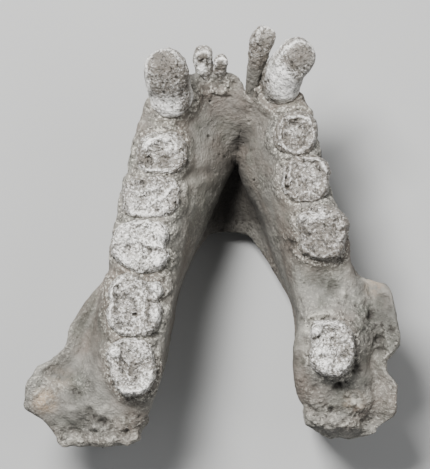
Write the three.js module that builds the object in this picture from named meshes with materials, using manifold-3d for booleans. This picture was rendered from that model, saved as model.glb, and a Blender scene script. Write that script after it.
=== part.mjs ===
// Fossil lower jaw of a giant ape, life size, lying on its lower border with the teeth up.
// Millimetres. +Z is up, +Y points to the incisors and +X to the jaw's own right side.
// The origin is under the middle of the jaw, at the level that it rests on.
import * as THREE from "three";
import { mergeVertices } from "three/addons/utils/BufferGeometryUtils.js";
import Module from "manifold-3d";

const wasm = await Module();
wasm.setup();

// Driving sizes of the bone.
const REST_LEVEL = 0;
const CUT = 0.3; // width of the thin cuts between the named parts
const SECTION_STEPS = 36; // points round one cross-section
const FRONT_STATIONS = 30; // cross-sections from the midline to the first molar
const REAR_STATIONS = 30; // cross-sections from the first molar to the broken end
const FIRST_MOLAR = 6; // landmark at the first molar
const BREAK = 9; // landmark at the broken end
const BREAK_RINGS = 3; // rings that close the broken end
const BREAK_ROUGHNESS = 0.7; // how far the broken end stands in and out
const HOLLOW_RISE = 0.42; // height of the inner hollow between the lower border and the inner bulge
const SOCKET_RISE = 1.4; // how far the bone rises round each tooth
const SOCKET_REACH = 0.4; // as a share of the tooth's half sizes
const COLLAR_REACH = 0.5; // as a share of a front tooth's radius
const WIDEST_COLLAR = 7.4; // a narrower collar of bone rises less, in proportion

// Each half of the bone is carried through ten landmarks: 0 midline, 1 incisors, 2 canine, 3 corner,
// 4 and 5 premolars, 6 to 8 molars, 9 broken end. A row is [landmark, x, y, z].
// rim and lip are the outer and inner edges of the crest that holds the teeth, belly is the inner bulge
// half way down, keel and foot are the inner and outer edges of the lower border, and flare is the
// outer wall, which stands out as the stump of the rising branch behind the first molar.
const LEFT_BONE = {
  rim: [[0, 10.6, 46.2, 53], [0.25, 10.2, 49.2, 54], [0.5, 8.4, 52.2, 55.5], [0.8, 4.6, 53.6, 57],
    [1, 0.6, 53.4, 57.5], [1.4, -5.2, 52.6, 58.5], [2, -12.6, 50, 59.5], [3, -21.4, 41, 60],
    [4, -24.8, 28.7, 60], [5, -27.9, 13.4, 60], [6, -31, -2.9, 60], [7, -33.4, -21.5, 59.5],
    [8, -34.6, -41.1, 58.5], [8.5, -35.6, -54, 55], [9, -36.5, -66.6, 50]],
  lip: [[0, 10.6, 40, 47.5], [1, 1.6, 41.5, 49], [2, -4.7, 38, 53], [3, -8, 32.8, 57],
    [4, -9.6, 25, 59], [5, -10.9, 10.8, 60], [6, -12.9, -4.6, 60], [7, -14.2, -22.2, 60],
    [8, -17.6, -41.5, 58.5], [8.5, -20.4, -53, 55], [9, -23.4, -64.6, 50]],
  belly: [[0, 9.8, 25.6, 33], [1, 7.6, 25.2, 33.5], [2, 6.5, 24.2, 34], [3, 5.3, 22, 35],
    [4, 3.2, 17.8, 36], [5, -0.6, 8.5, 37], [6, -6.6, -5.2, 38], [7, -12.8, -22.2, 40],
    [8, -16.8, -42, 42], [9, -23.2, -62.6, 36]],
  keel: [[0, 11, 1, 9], [1, 5.6, 1.2, 9], [2, 2.6, 1.2, 9], [3, 0.6, 0.8, 9], [4, -1.6, 0, 9],
    [5, -4.2, -3, 8.5], [6, -8.2, -9.5, 8], [7, -12.8, -23, 7], [8, -16.6, -42, 7], [9, -22, -60, 8]],
  foot: [[0, 12, 33.5, 14], [1, 1.2, 35.5, 13], [2, -5.5, 34.5, 12], [3, -12.5, 31, 11],
    [4, -19, 24, 10], [5, -23.6, 11.5, 10], [6, -28, -4, 9], [7, -33.5, -22, 8], [8, -40.5, -42, 7.5],
    [9, -42, -62, 9]],
  flare: [[0, 11.6, 43, 34], [1, 0.3, 47, 34], [2, -11.4, 48, 36], [3, -20.5, 39.5, 36],
    [4, -24.4, 28.6, 36], [5, -27.5, 13.4, 36], [6, -31.2, -2.9, 38], [6.5, -34.2, -12.2, 41],
    [7, -40.9, -21.6, 44], [7.5, -47.2, -31, 47], [7.75, -49, -36.2, 48], [8, -53.4, -41, 49],
    [8.25, -59.4, -45.4, 50], [8.5, -62.2, -51, 50], [8.75, -62, -57.2, 48], [8.88, -56, -62.2, 45],
    [9, -52.2, -66.8, 42]],
  end: [-36.5, -71.2, 34],
};
const RIGHT_BONE = {
  rim: [[0, 10.9, 45, 53], [0.5, 12.8, 46, 54], [1, 14.4, 48.6, 56], [1.3, 15, 51.6, 58],
    [1.6, 17.2, 54.2, 60], [1.85, 20.8, 52.4, 60.5], [2, 23.4, 49.6, 60], [3, 29.8, 42.6, 60],
    [4, 32.2, 32.9, 60], [5, 35.9, 18.3, 60], [6, 42.3, 0.3, 60], [7, 44.9, -15.5, 57],
    [8, 46.8, -36.2, 58], [8.5, 46.8, -48, 54.5], [9, 46.4, -60, 49]],
  lip: [[0, 9.8, 38.5, 47.5], [1, 14.2, 38, 49], [2, 17.1, 37, 53], [3, 19.1, 34.5, 57],
    [4, 20.4, 30.4, 59], [5, 22.9, 17, 60], [6, 27, -0.3, 60], [7, 28.1, -16.6, 57],
    [7.6, 29.4, -28, 58], [8, 28.4, -36.2, 58.5], [8.5, 28.6, -48, 55], [9, 31.2, -57.5, 49]],
  belly: [[0, 5.6, 25.4, 33], [1, 8.4, 24.6, 33.5], [2, 9.6, 22.6, 34], [3, 10.8, 20, 35],
    [4, 12.2, 17, 36], [5, 15.8, 9.8, 37], [6, 20.4, -1.6, 38], [7, 26, -18, 40], [7.5, 28.9, -27, 42],
    [8, 27.2, -37.5, 42], [8.5, 28, -48, 40], [9, 30.4, -56.5, 36]],
  keel: [[0, 4.4, 1, 9], [1, 9.4, 0.8, 9], [2, 12, 0, 9], [3, 13.8, -1.4, 9], [4, 15.4, -3.2, 9],
    [5, 17.4, -6.2, 8.5], [6, 20.6, -11, 8], [7, 27, -22, 7], [8, 29.6, -37.5, 7], [9, 31, -56, 8]],
  foot: [[0, 8.5, 33.5, 14], [1, 14, 33.6, 13], [2, 18.6, 32.4, 12], [3, 23.4, 29.4, 11],
    [4, 27.4, 24.4, 10], [5, 32.4, 13.4, 10], [6, 38.6, -2, 9], [7, 44, -18, 8], [8, 50.5, -38, 7.5],
    [9, 50, -59, 9]],
  flare: [[0, 9, 42.4, 34], [1, 14.6, 43.4, 34], [1.5, 17.2, 49.6, 42], [2, 22, 45.6, 36],
    [3, 28.4, 40.6, 36], [4, 31.4, 32.6, 36], [5, 35.2, 18.2, 36], [6, 42, 0.4, 38],
    [6.45, 45.2, -7.5, 41], [6.75, 48.4, -12.8, 44], [6.9, 52.6, -14.6, 46], [7, 57.6, -16.4, 48],
    [7.2, 59.6, -22, 50], [7.6, 61.4, -31.2, 51], [7.8, 61.8, -35.2, 51], [7.95, 59.4, -38.8, 50],
    [8.1, 56.6, -41.3, 49], [8.2, 57.2, -44, 49], [8.45, 61.2, -49.2, 49], [8.7, 61.6, -54.4, 48],
    [8.9, 60.6, -60, 45], [9, 55.2, -64.2, 42]],
  end: [40.5, -67.8, 32],
};

// Level of the lower border at the ten landmarks: it rests where this is under zero.
const SOLE_LEVEL = [-1.5, -1.5, -1.5, -1.2, 0.3, 1.6, 2.2, 1.4, -1, -1.5];
// Where the outer shelf sags between rim (0) and flare (1), and how far the inner hollow is cut
// in from the lower border (0) to the inner bulge (1), at the ten landmarks.
const SHELF_SAG = [0.35, 0.35, 0.35, 0.35, 0.35, 0.35, 0.4, 0.75, 1, 0.8];
const INNER_HOLLOW = [0.85, 0.85, 0.85, 0.82, 0.8, 0.7, 0.45, 0.4, 0.4, 0.5];

// Main relief of the upper side in plan, as [x, y, reach, height], and main forms of the walls,
// such as the bulges over the roots of the canines, as [x, y, z, reach, height].
const LEFT_MOUNDS = [[9.6, 33, 4.6, -1.2], [9.2, 29.6, 3.6, -1.6], [-2.3, 38.5, 3.5, 0.5],
  [-48.9, -44.3, 6, -1.2], [-44.7, -51.8, 4, -1], [-41.4, -60, 5, -1.6], [-55.1, -54.4, 3, 0.8],
  [-36.5, -61.6, 3, -1.4], [-54.4, -46.3, 3.5, -0.8], [-15.3, -10.4, 3.5, -0.6], [-30, -61.6, 3, 0.8]];
const RIGHT_MOUNDS = [[9.6, 33, 4.6, -1.2], [9.2, 29.6, 3.6, -1.6], [34.6, -16, 6.5, -1.1],
  [40.1, -17.6, 3.2, -1.4], [50.9, -37.2, 4, 0.5], [51.5, -53.5, 3, 0.6], [34.6, -55.1, 4, 0.6],
  [56.4, -20.9, 3, -1], [28.7, -37.2, 3, 0.5]];
const LEFT_WALLS = [[-14.4, 47, 46, 14, 3.2], [-2, 49, 45, 8, 1.4], [3, 47.5, 45, 6, 0.8],
  [-31, -2, 20, 16, -1.4], [-45, -46, 24, 18, -1.6], [-41, -55, 12, 10, 1.2]];
const RIGHT_WALLS = [[23.6, 46, 46, 13, 3], [13.6, 45.5, 44, 7, 1.4], [40.5, 0, 20, 16, -1.4],
  [53, -40, 24, 18, -1.6], [50, -52, 12, 10, 1.2]];

// Cheek teeth: centre, length along the row and breadth across it, turn from +Y, height of the crown
// over the crest of the bone, softness of its edge from 0 to 1, lobes of its outline as [angle,
// amount, reach], where angle 0 is the front end, 90 the cheek side and -90 the tongue side, and
// mounds of the chewing surface as [x, y, reach, height] from the centre.
const CHEEK_TEETH = {
  left_p3: {
    centre: [-16.6, 26.6], size: [14.9, 16.4], turn: -8, height: 4.8, soft: 1.0,
    lobes: [[-60, 0.06, 40], [60, -0.05, 40], [170, -0.04, 30]],
    mounds: [[-4.7, -2.1, 2.5, -1.9], [1.3, -2.6, 3.1, -1.7], [4.1, 2.4, 3.4, 1]],
  },
  left_p4: {
    centre: [-20, 12.6], size: [15, 18.8], turn: -6, height: 5.2, soft: 0.8,
    lobes: [[-70, 0.04, 40], [0, -0.03, 30], [120, 0.03, 40]],
    mounds: [[1.7, 3.2, 3, 1.1], [-6, -2.1, 3.2, 0.9], [5, -3.8, 2.4, 0.8], [7, 2.2, 2.6, -0.8],
      [-2, 4.6, 2.8, -0.8], [-1.6, -1.2, 2.2, -0.8], [-6.8, 3, 2.4, 0.5]],
  },
  left_m1: {
    centre: [-23.3, -3.6], size: [17.8, 19.2], turn: -8, height: 6.6, soft: 0.35,
    lobes: [[-58, 0.09, 28], [-97, -0.16, 20], [-128, -0.02, 22], [134, -0.17, 44], [62, -0.06, 30]],
    mounds: [[7, 3.9, 3.6, 1.7], [6.2, -5.2, 3, 1.6], [-4.9, 3.8, 4.2, 1], [-4.1, -4, 3.8, 0.9],
      [0.6, 4.8, 2.6, -0.5], [1.4, -5.4, 2.4, 0.7]],
  },
  left_m2: {
    centre: [-25, -22.6], size: [21, 18.4], turn: -3, height: 6.4, soft: 0.35,
    lobes: [[-62, 0.1, 24], [-83, -0.17, 15], [-125, -0.06, 40], [80, -0.13, 15], [112, 0.05, 24],
      [12, 0.05, 24], [-31, -0.16, 22]],
    mounds: [[-3.8, 5.8, 3.4, 1], [7, 5.6, 3, 1.6], [6.6, -3.4, 2.8, 1.2], [-4.6, -3.6, 3, 0.8],
      [1.6, -5.6, 3, 0.5]],
  },
  left_m3: {
    centre: [-26.2, -42.4], size: [19.4, 15.2], turn: -4, height: 6.4, soft: 0.4,
    lobes: [[64, 0.09, 22], [88, -0.1, 15], [128, -0.1, 36], [-104, 0.06, 30], [-60, 0.02, 24]],
    mounds: [[-5.4, 4.4, 2.6, 1.6], [3.9, 5.2, 3.3, 1.3], [-4.6, -3.8, 2.6, 0.8], [0, -0.8, 4.2, -1.1],
      [5.4, -2.6, 2.2, 0.8]],
  },
  right_p3: {
    centre: [27.4, 33.2], size: [15, 13.8], turn: 8, height: 5.6, soft: 0.6,
    lobes: [[-110, 0.06, 40], [110, -0.04, 30], [0, 0.02, 30]],
    mounds: [[-0.9, 0.8, 2.6, 0.9]],
  },
  right_p4: {
    centre: [30.3, 18.4], size: [16.4, 15.8], turn: 12, height: 5.8, soft: 0.5,
    lobes: [[40, 0.04, 34], [104, 0.06, 18], [150, -0.05, 30], [-140, -0.05, 36]],
    mounds: [[2.9, 1.6, 3.8, 0.8], [-2.6, 1.8, 3, 0.5], [-1.4, -4.4, 2.4, 0.4]],
  },
  right_m1: {
    centre: [35.6, 1.2], size: [18, 17.2], turn: 14, height: 6.2, soft: 0.45,
    lobes: [[-64, 0.08, 28], [-112, -0.18, 42], [96, -0.05, 16], [58, 0.03, 26], [120, 0.06, 24]],
    mounds: [[6.2, 1.8, 2.2, 1.1], [6.8, -2.4, 2.4, 1.3], [5.3, 5.6, 2.2, 0.7], [-1.3, -5, 4.2, -0.7],
      [-6.4, 5.4, 2.4, 0.7], [0.8, 5, 2.4, 0.7], [2.2, 0.2, 2.6, -0.7]],
  },
  right_m3: {
    centre: [38.9, -36.3], size: [18.6, 14.6], turn: 4, height: 7.2, soft: 0.35,
    lobes: [[-52, 0.14, 28], [-90, -0.08, 22], [40, -0.03, 26], [100, 0.05, 30], [150, 0.03, 30]],
    mounds: [[-5.6, 5.4, 2.6, 1.5], [-2.9, -1.1, 3.4, 1.3], [-2.4, -5.9, 2.5, 1.3],
      [3.1, -5.6, 2.7, 1.3], [3.4, 3.4, 3, 1]],
  },
};
const CREST = 60; // level of the crest that the crowns stand on
const TOOTH_STEPS = 24;
const SQUARENESS = 2.6; // 2 is an oval outline, more is squarer
// Rings of a cheek tooth from the root up and in to the middle of the chewing surface: share of the
// outline, height in shares of the crown, how much of the relief shows, and how much share and
// height change where the edge is soft. The last row is the middle.
const CHEEK_RINGS = [
  [0.36, -1.7, 0, 0, 0],
  [0.95, 0.2, 0, 0.06, 0],
  [1.0, 0.5, 0.08, -0.02, 0.1],
  [0.975, 0.76, 0.35, -0.07, 0.04],
  [0.9, 0.96, 0.8, -0.07, -0.02],
  [0.66, 0.97, 1, -0.03, 0],
  [0.36, 0.9, 1, 0, 0.02],
  [0, 0.88, 1, 0, 0.03],
];

// Front teeth: the line from the root through the bend to the tip, half widths across it at those
// three places, depth as a share of width, how far the tip is turned up, the shape of the tip, the
// middle and radius of the collar of bone round it in plan, and swellings as [place, angle, reach
// along, reach round, share of the half width], where angle 0 faces up and back and 90 faces left.
const FRONT_TEETH = {
  left_canine: {
    line: [[-13.4, 42.6, 44], [-13.2, 44.4, 66], [-15.8, 58.8, 75.8]], half: [6.8, 7, 7.2],
    depth: 0.86, up: 0.15, tip: "dome", collar: [-13.4, 45.4, 7.4],
    swell: [[0.86, 4, 0.3, 58, -0.22], [0.8, 76, 0.36, 30, 0.04], [0.8, -70, 0.36, 30, 0.04],
      [0.3, 0, 0.1, 90, 0.12], [0.45, 0, 0.1, 90, -0.1], [0.42, -70, 0.14, 34, 0.1],
      [0.62, 30, 0.1, 30, 0.05]],
  },
  left_incisor_2: {
    line: [[-1.6, 45, 46], [-2.6, 50.6, 58], [-3, 60.7, 63.5]], half: [2.5, 3, 3.1],
    depth: 0.9, up: 0.2, tip: "peg", collar: [-2.3, 50.2, 3.6],
    swell: [[0.62, 0, 0.12, 70, 0.16], [0.85, 10, 0.14, 50, -0.14], [0.8, 90, 0.3, 30, 0.06]],
  },
  left_incisor_1: {
    line: [[1.8, 45.2, 46], [2.3, 50.4, 57], [3, 58.1, 62]], half: [1.9, 2.2, 2.3],
    depth: 0.9, up: 0.2, tip: "peg", collar: [2.2, 50.2, 2.9],
    swell: [[0.85, 0, 0.16, 50, -0.12], [0.66, 60, 0.14, 50, 0.12]],
  },
  right_canine: {
    line: [[22, 42, 44], [20.8, 50.2, 67], [30.2, 61.8, 75.8]], half: [5.6, 6.4, 6.5],
    depth: 0.86, up: 0.1, tip: "dome", collar: [22.6, 47.4, 6.6],
    swell: [[0.9, -24, 0.26, 52, -0.26], [0.8, 62, 0.5, 22, 0.07], [0.84, 96, 0.4, 14, -0.05],
      [0.42, 0, 0.12, 80, 0.08], [0.6, -84, 0.26, 44, -0.16], [0.88, -84, 0.16, 20, 0.05]],
  },
  right_incisor_2: {
    line: [[13.4, 42, 44], [12.2, 51, 63], [17.4, 66.7, 71]], half: [1.9, 2.5, 4],
    depth: 0.8, up: 0.3, tip: "peg", collar: [12.8, 47, 3],
    swell: [[0.88, 0, 0.2, 56, -0.14], [0.5, 0, 0.3, 50, -0.08], [0.82, 86, 0.2, 24, 0.06]],
  },
};
const TOOTH_SIDES = 18;
// Rings of a front tooth from the root to the tip: place along its line, share of its half width.
// The last row is the middle of the tip.
const FRONT_RINGS = {
  dome: [[0, 0.72], [0.2, 0.95], [0.4, 1], [0.6, 1], [0.74, 1], [0.84, 0.95], [0.915, 0.82],
    [0.965, 0.62], [0.99, 0.34], [1, 0]],
  peg: [[0, 0.7], [0.2, 0.95], [0.4, 1], [0.6, 1], [0.8, 1], [0.92, 0.97], [0.975, 0.84],
    [0.995, 0.5], [0.98, 0]],
};

// Thin upright cuts in plan. Each front cut runs in between the canine and the first premolar,
// then back beside the shelf, so that the chin block takes the shelf with it.
const CUTS = {
  left_front: [[-34, 37.0], [-8, 35.6], [1.5, 24], [1.5, -20]],
  right_front: [[46, 44.6], [20, 42.0], [13.5, 30], [13.5, -20]],
  left_ramus: [[-38.4, 4], [-39.6, -80]],
  right_ramus: [[50.4, -4], [50.8, -80]],
};
const PART_NAMES = ["left_ramus_root", "left_body", "right_body", "right_ramus_root"];
const BONE_COLOUR = 0x8f8a82;

const { lerp, degToRad, radToDeg, smoothstep } = THREE.MathUtils;
const UP = new THREE.Vector3(0, 0, 1);

// A smooth value through rows of [place, ...values]: cubic between rows, with each slope
// taken from the rows on both sides.
function through(rows, place) {
  const last = rows.length - 1;
  let i = 0;
  while (i < last - 1 && place > rows[i + 1][0]) i++;
  const slope = (k, c) => {
    const before = rows[Math.max(k - 1, 0)];
    const after = rows[Math.min(k + 1, last)];
    return (after[c] - before[c]) / (after[0] - before[0]);
  };
  const step = rows[i + 1][0] - rows[i][0];
  const s = (place - rows[i][0]) / step;
  return rows[i].slice(1).map((_, k) => {
    const c = k + 1;
    return rows[i][c] * (2 * s ** 3 - 3 * s ** 2 + 1)
      + rows[i + 1][c] * (3 * s ** 2 - 2 * s ** 3)
      + slope(i, c) * step * (s ** 3 - 2 * s ** 2 + s)
      + slope(i + 1, c) * step * (s ** 3 - s ** 2);
  });
}

// A bell that is 1 at the middle and 0 beyond the reach.
function bell(distance, reach) {
  const share = Math.min(1, Math.abs(distance) / reach);
  return (1 - share * share) ** 2;
}

// Height of the relief at a place in plan: the sum of bells round the mounds.
function relief(mounds, x, y) {
  return mounds.reduce((z, [mx, my, reach, high]) => z + high * bell(Math.hypot(x - mx, y - my), reach), 0);
}

// Outline of a cheek tooth at an angle, as a share of its half sizes: a rounded square, swollen or
// nicked at each lobe.
function outline(lobes, angle) {
  const [cos, sin] = [Math.abs(Math.cos(angle)), Math.abs(Math.sin(angle))];
  const square = (cos ** SQUARENESS + sin ** SQUARENESS) ** (-1 / SQUARENESS);
  const swell = lobes.reduce((sum, [toward, amount, reach]) => {
    const apart = THREE.MathUtils.euclideanModulo(radToDeg(angle) - toward + 180, 360) - 180;
    return sum + amount * bell(apart, reach);
  }, 1);
  return square * swell;
}

// How far a place in plan is from the middle of a cheek tooth, where 1 is its outline.
function edgeShare({ centre, size, turn, lobes }, x, y) {
  const angle = degToRad(turn);
  const [dx, dy] = [x - centre[0], y - centre[1]];
  const along = (dx * Math.sin(angle) + dy * Math.cos(angle)) / (size[0] / 2);
  const across = ((dx * Math.cos(angle) - dy * Math.sin(angle)) / (size[1] / 2)) * Math.sign(centre[0]);
  return Math.hypot(along, across) / outline(lobes, Math.atan2(across, along));
}

// The nine points that one cross-section is drawn through, in order round it.
function section(bone, place) {
  const at = (name) => new THREE.Vector3(...through(bone[name], place));
  const share = (list) => through(list.map((value, i) => [i, value]), place)[0];
  const [rim, lip, belly, keel, foot, flare] = ["rim", "lip", "belly", "keel", "foot", "flare"].map(at);
  const shelf = rim.clone().lerp(flare, 0.5);
  shelf.z = lerp(rim.z, flare.z, share(SHELF_SAG));
  const sole = foot.clone().lerp(keel, 0.5).setZ(share(SOLE_LEVEL));
  const hollow = keel.clone().lerp(belly, share(INNER_HOLLOW));
  hollow.z = lerp(keel.z, belly.z, HOLLOW_RISE);
  return [lip, rim, shelf, flare, foot, sole, keel, hollow, belly];
}

// One closed body from a surface, faced outwards.
function toSolid(geometry) {
  const bare = geometry.clone();
  bare.deleteAttribute("normal");
  bare.deleteAttribute("uv");
  const merged = mergeVertices(bare, 1e-4);
  const vertProperties = merged.attributes.position.array;
  const triVerts = new Uint32Array(merged.index.array);
  const body = () => new wasm.Manifold(new wasm.Mesh({ numProp: 3, vertProperties, triVerts }));
  const first = body();
  if (first.volume() > 0) return first;
  for (let i = 0; i < triVerts.length; i += 3) {
    [triVerts[i], triVerts[i + 1]] = [triVerts[i + 1], triVerts[i]];
  }
  return body();
}

// A closed solid from rings of points, with a pole at each end.
function closedRings(rings, firstPole, lastPole) {
  const steps = rings[0].length;
  const position = [];
  for (const ring of rings) for (const p of ring) position.push(p.x, p.y, p.z);
  const first = position.length / 3;
  position.push(firstPole.x, firstPole.y, firstPole.z, lastPole.x, lastPole.y, lastPole.z);
  const index = [];
  const lastRing = (rings.length - 1) * steps;
  for (let j = 0; j < steps; j++) {
    const k = (j + 1) % steps;
    index.push(first, k, j);
    index.push(first + 1, lastRing + j, lastRing + k);
    for (let i = 0; i + 1 < rings.length; i++) {
      const a = i * steps;
      const b = a + steps;
      index.push(a + j, a + k, b + j, a + k, b + k, b + j);
    }
  }
  const geometry = new THREE.BufferGeometry();
  geometry.setAttribute("position", new THREE.Float32BufferAttribute(position, 3));
  geometry.setIndex(index);
  return toSolid(geometry);
}

function meanOf(points) {
  const middle = new THREE.Vector3();
  for (const p of points) middle.addScaledVector(p, 1 / points.length);
  return middle;
}

// The direction that a ring point faces: square to the steps along and round, away from the middle.
function facing(rings, i, j) {
  const [before, after] = [rings[Math.max(i - 1, 0)][j], rings[Math.min(i + 1, rings.length - 1)][j]];
  const ring = rings[i];
  const around = ring[(j + 1) % ring.length].clone().sub(ring.at(j - 1));
  const normal = after.clone().sub(before).cross(around).normalize();
  const away = ring[j].clone().sub(meanOf(ring));
  return normal.dot(away) < 0 ? normal.negate() : normal;
}

// How far the bone stands out at a point that faces a direction: relief and sockets on the upper side,
// and the forms of the walls all round.
function boneLift(p, normal, { mounds, walls, cheek, front }) {
  const up = smoothstep(normal.z, 0, 0.45);
  let lift = up * relief(mounds, p.x, p.y);
  for (const [x, y, z, reach, high] of walls) {
    lift += high * bell(p.distanceTo(new THREE.Vector3(x, y, z)), reach);
  }
  for (const tooth of cheek) lift += SOCKET_RISE * up * bell(edgeShare(tooth, p.x, p.y) - 1, SOCKET_REACH);
  for (const { collar: [x, y, radius] } of front) {
    const beside = bell(Math.hypot(p.x - x, p.y - y) / radius - 1, COLLAR_REACH);
    lift += SOCKET_RISE * Math.max(up, 0.4) * beside * (radius / WIDEST_COLLAR);
  }
  return lift;
}

// The bone of one half: its cross-sections from the midline to the break, then rings that close the break.
function boneHalf(bone, forms) {
  const places = [];
  for (let i = 0; i < FRONT_STATIONS; i++) places.push((FIRST_MOLAR * i) / FRONT_STATIONS);
  for (let i = 0; i <= REAR_STATIONS; i++) places.push(lerp(FIRST_MOLAR, BREAK, i / REAR_STATIONS));
  const plain = places.map((place) => {
    const loop = new THREE.CatmullRomCurve3(section(bone, place), true, "catmullrom", 0.5);
    return Array.from({ length: SECTION_STEPS }, (_, j) => loop.getPoint(j / SECTION_STEPS));
  });
  const rings = plain.map((ring, i) => ring.map((p, j) => {
    const normal = facing(plain, i, j);
    return p.clone().addScaledVector(normal, boneLift(p, normal, forms));
  }));
  const last = rings[rings.length - 1];
  const end = new THREE.Vector3(...bone.end);
  for (let k = 1; k <= BREAK_RINGS; k++) {
    const share = k / (BREAK_RINGS + 1);
    rings.push(last.map((p, j) => {
      const q = p.clone().lerp(end, share * share);
      q.y = lerp(p.y, end.y, Math.sqrt(share)) + BREAK_ROUGHNESS * Math.sin(5 * j + 3 * k);
      return q;
    }));
  }
  return closedRings(rings, meanOf(rings[0]), end);
}

// A cheek tooth: rings that follow its lobed outline, with the worn relief on top.
function cheekTooth({ centre, size, turn, height, soft, lobes, mounds }) {
  const turned = degToRad(turn);
  const outward = Math.sign(centre[0]);
  const rings = CHEEK_RINGS.map(([share, high, shows, softShare, softHigh]) => {
    const ringShare = share + soft * softShare;
    return Array.from({ length: TOOTH_STEPS }, (_, j) => {
      const angle = (2 * Math.PI * j) / TOOTH_STEPS;
      const reach = ringShare * (1 + (outline(lobes, angle) - 1) * smoothstep(ringShare, 0.1, 0.9));
      const y = (reach * Math.cos(angle) * size[0]) / 2;
      const x = ((reach * Math.sin(angle) * size[1]) / 2) * outward;
      const dx = x * Math.cos(turned) + y * Math.sin(turned);
      const dy = y * Math.cos(turned) - x * Math.sin(turned);
      const level = CREST + (high + soft * softHigh) * height + shows * relief(mounds, dx, dy);
      return new THREE.Vector3(centre[0] + dx, centre[1] + dy, level);
    });
  });
  const middle = rings.pop()[0];
  return closedRings(rings, meanOf(rings[0]), middle);
}

// A front tooth: oval rings along a bent line, swollen and hollowed by its swellings.
function frontTooth({ line, half, depth, up, tip, swell }) {
  const curve = new THREE.QuadraticBezierCurve3(...line.map((p) => new THREE.Vector3(...p)));
  const rings = FRONT_RINGS[tip].map(([t, share]) => {
    const tangent = curve.getTangent(t);
    const normal = tangent.clone().lerp(UP, up * t ** 3).normalize();
    const side = UP.clone().cross(tangent).normalize();
    const other = normal.clone().cross(side).normalize();
    const width = share * (t < 0.5 ? lerp(half[0], half[1], 2 * t) : lerp(half[1], half[2], 2 * t - 1));
    return Array.from({ length: TOOTH_SIDES }, (_, j) => {
      const a = (2 * Math.PI * j) / TOOTH_SIDES;
      const fromUp = radToDeg(Math.atan2(Math.cos(a), Math.sin(a)));
      const swollen = swell.reduce((sum, [place, toward, reach, roundReach, amount]) => {
        const apart = THREE.MathUtils.euclideanModulo(fromUp - toward + 180, 360) - 180;
        return sum + amount * bell(t - place, reach) * bell(apart, roundReach);
      }, 1);
      return curve.getPoint(t)
        .addScaledVector(side, width * swollen * Math.cos(a))
        .addScaledVector(other, depth * width * swollen * Math.sin(a));
    });
  });
  const middle = rings.pop()[0];
  return closedRings(rings, curve.getPoint(0), middle);
}

// A tall thin wall over a bent line in plan, mitred at its bends, which parts one solid in two.
function wall(line) {
  const points = line.map(([x, y]) => new THREE.Vector2(x, y));
  const edge = (sign) => points.map((p, i) => {
    const into = i > 0 ? p.clone().sub(points[i - 1]).normalize() : null;
    const out = i + 1 < points.length ? points[i + 1].clone().sub(p).normalize() : null;
    const mean = (into ?? out).clone().add(out ?? into).normalize();
    const half = (sign * CUT) / 2 / mean.dot(into ?? out);
    return new THREE.Vector2(p.x - half * mean.y, p.y + half * mean.x);
  });
  const ribbon = new THREE.Shape([...edge(-1), ...edge(1).reverse()]);
  const geometry = new THREE.ExtrudeGeometry(ribbon, { depth: 300, bevelEnabled: false });
  return toSolid(geometry.translate(0, 0, -150));
}

// The closed bodies of a solid, largest first.
function bodies(solid) {
  return solid.decompose().sort((a, b) => b.volume() - a.volume());
}

function middleOf(solid) {
  const { min, max } = solid.boundingBox();
  return { x: (min[0] + max[0]) / 2, y: (min[1] + max[1]) / 2 };
}

// One half of the jaw, with the teeth whose names start with its side.
function wholeHalf(side, bone, mounds, walls) {
  const ofSide = (teeth) => Object.entries(teeth).filter(([name]) => name.startsWith(side)).map(([, t]) => t);
  const [cheek, front] = [ofSide(CHEEK_TEETH), ofSide(FRONT_TEETH)];
  const teeth = [...cheek.map(cheekTooth), ...front.map(frontTooth)];
  return teeth.reduce((solid, tooth) => solid.add(tooth), boneHalf(bone, { mounds, walls, cheek, front }));
}

function toMesh(solid, name) {
  const m = solid.getMesh();
  const vertices = new Float32Array(m.numVert * 3);
  for (let i = 0; i < m.numVert; i++) {
    vertices.set(m.vertProperties.subarray(i * m.numProp, i * m.numProp + 3), i * 3);
  }
  const geometry = new THREE.BufferGeometry();
  geometry.setAttribute("position", new THREE.BufferAttribute(vertices, 3));
  geometry.setIndex(new THREE.BufferAttribute(m.triVerts, 1));
  geometry.computeVertexNormals();
  const material = new THREE.MeshStandardMaterial({ color: BONE_COLOUR, roughness: 0.8, metalness: 0 });
  const mesh = new THREE.Mesh(geometry, material);
  mesh.name = name;
  return mesh;
}

const belowRest = toSolid(new THREE.BoxGeometry(400, 400, 100).translate(0, 0, REST_LEVEL - 50));
const left = wholeHalf("left", LEFT_BONE, LEFT_MOUNDS, LEFT_WALLS);
const right = wholeHalf("right", RIGHT_BONE, RIGHT_MOUNDS, RIGHT_WALLS);
let whole = left.add(right).subtract(belowRest);
const box = whole.boundingBox();
const middle = [(box.min[0] + box.max[0]) / 2, (box.min[1] + box.max[1]) / 2];
for (const line of Object.values(CUTS)) whole = whole.subtract(wall(line));
whole = whole.translate([-middle[0], -middle[1], 0]);

// The five largest bodies, named by where they lie: the chin block is the foremost,
// and on each side the stump of the rising branch lies outside the body of the jaw.
const found = bodies(whole).slice(0, 5).sort((a, b) => middleOf(b).y - middleOf(a).y);
const chin = found.shift();
const across = found.sort((a, b) => middleOf(a).x - middleOf(b).x);

const jaw = new THREE.Group();
jaw.add(toMesh(chin, "symphysis"));
across.forEach((solid, i) => jaw.add(toMesh(solid, PART_NAMES[i])));

export default jaw;
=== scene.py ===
"""A life-size fossil lower jaw of a giant ape, lying teeth up on a pale floor."""

import math

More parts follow.
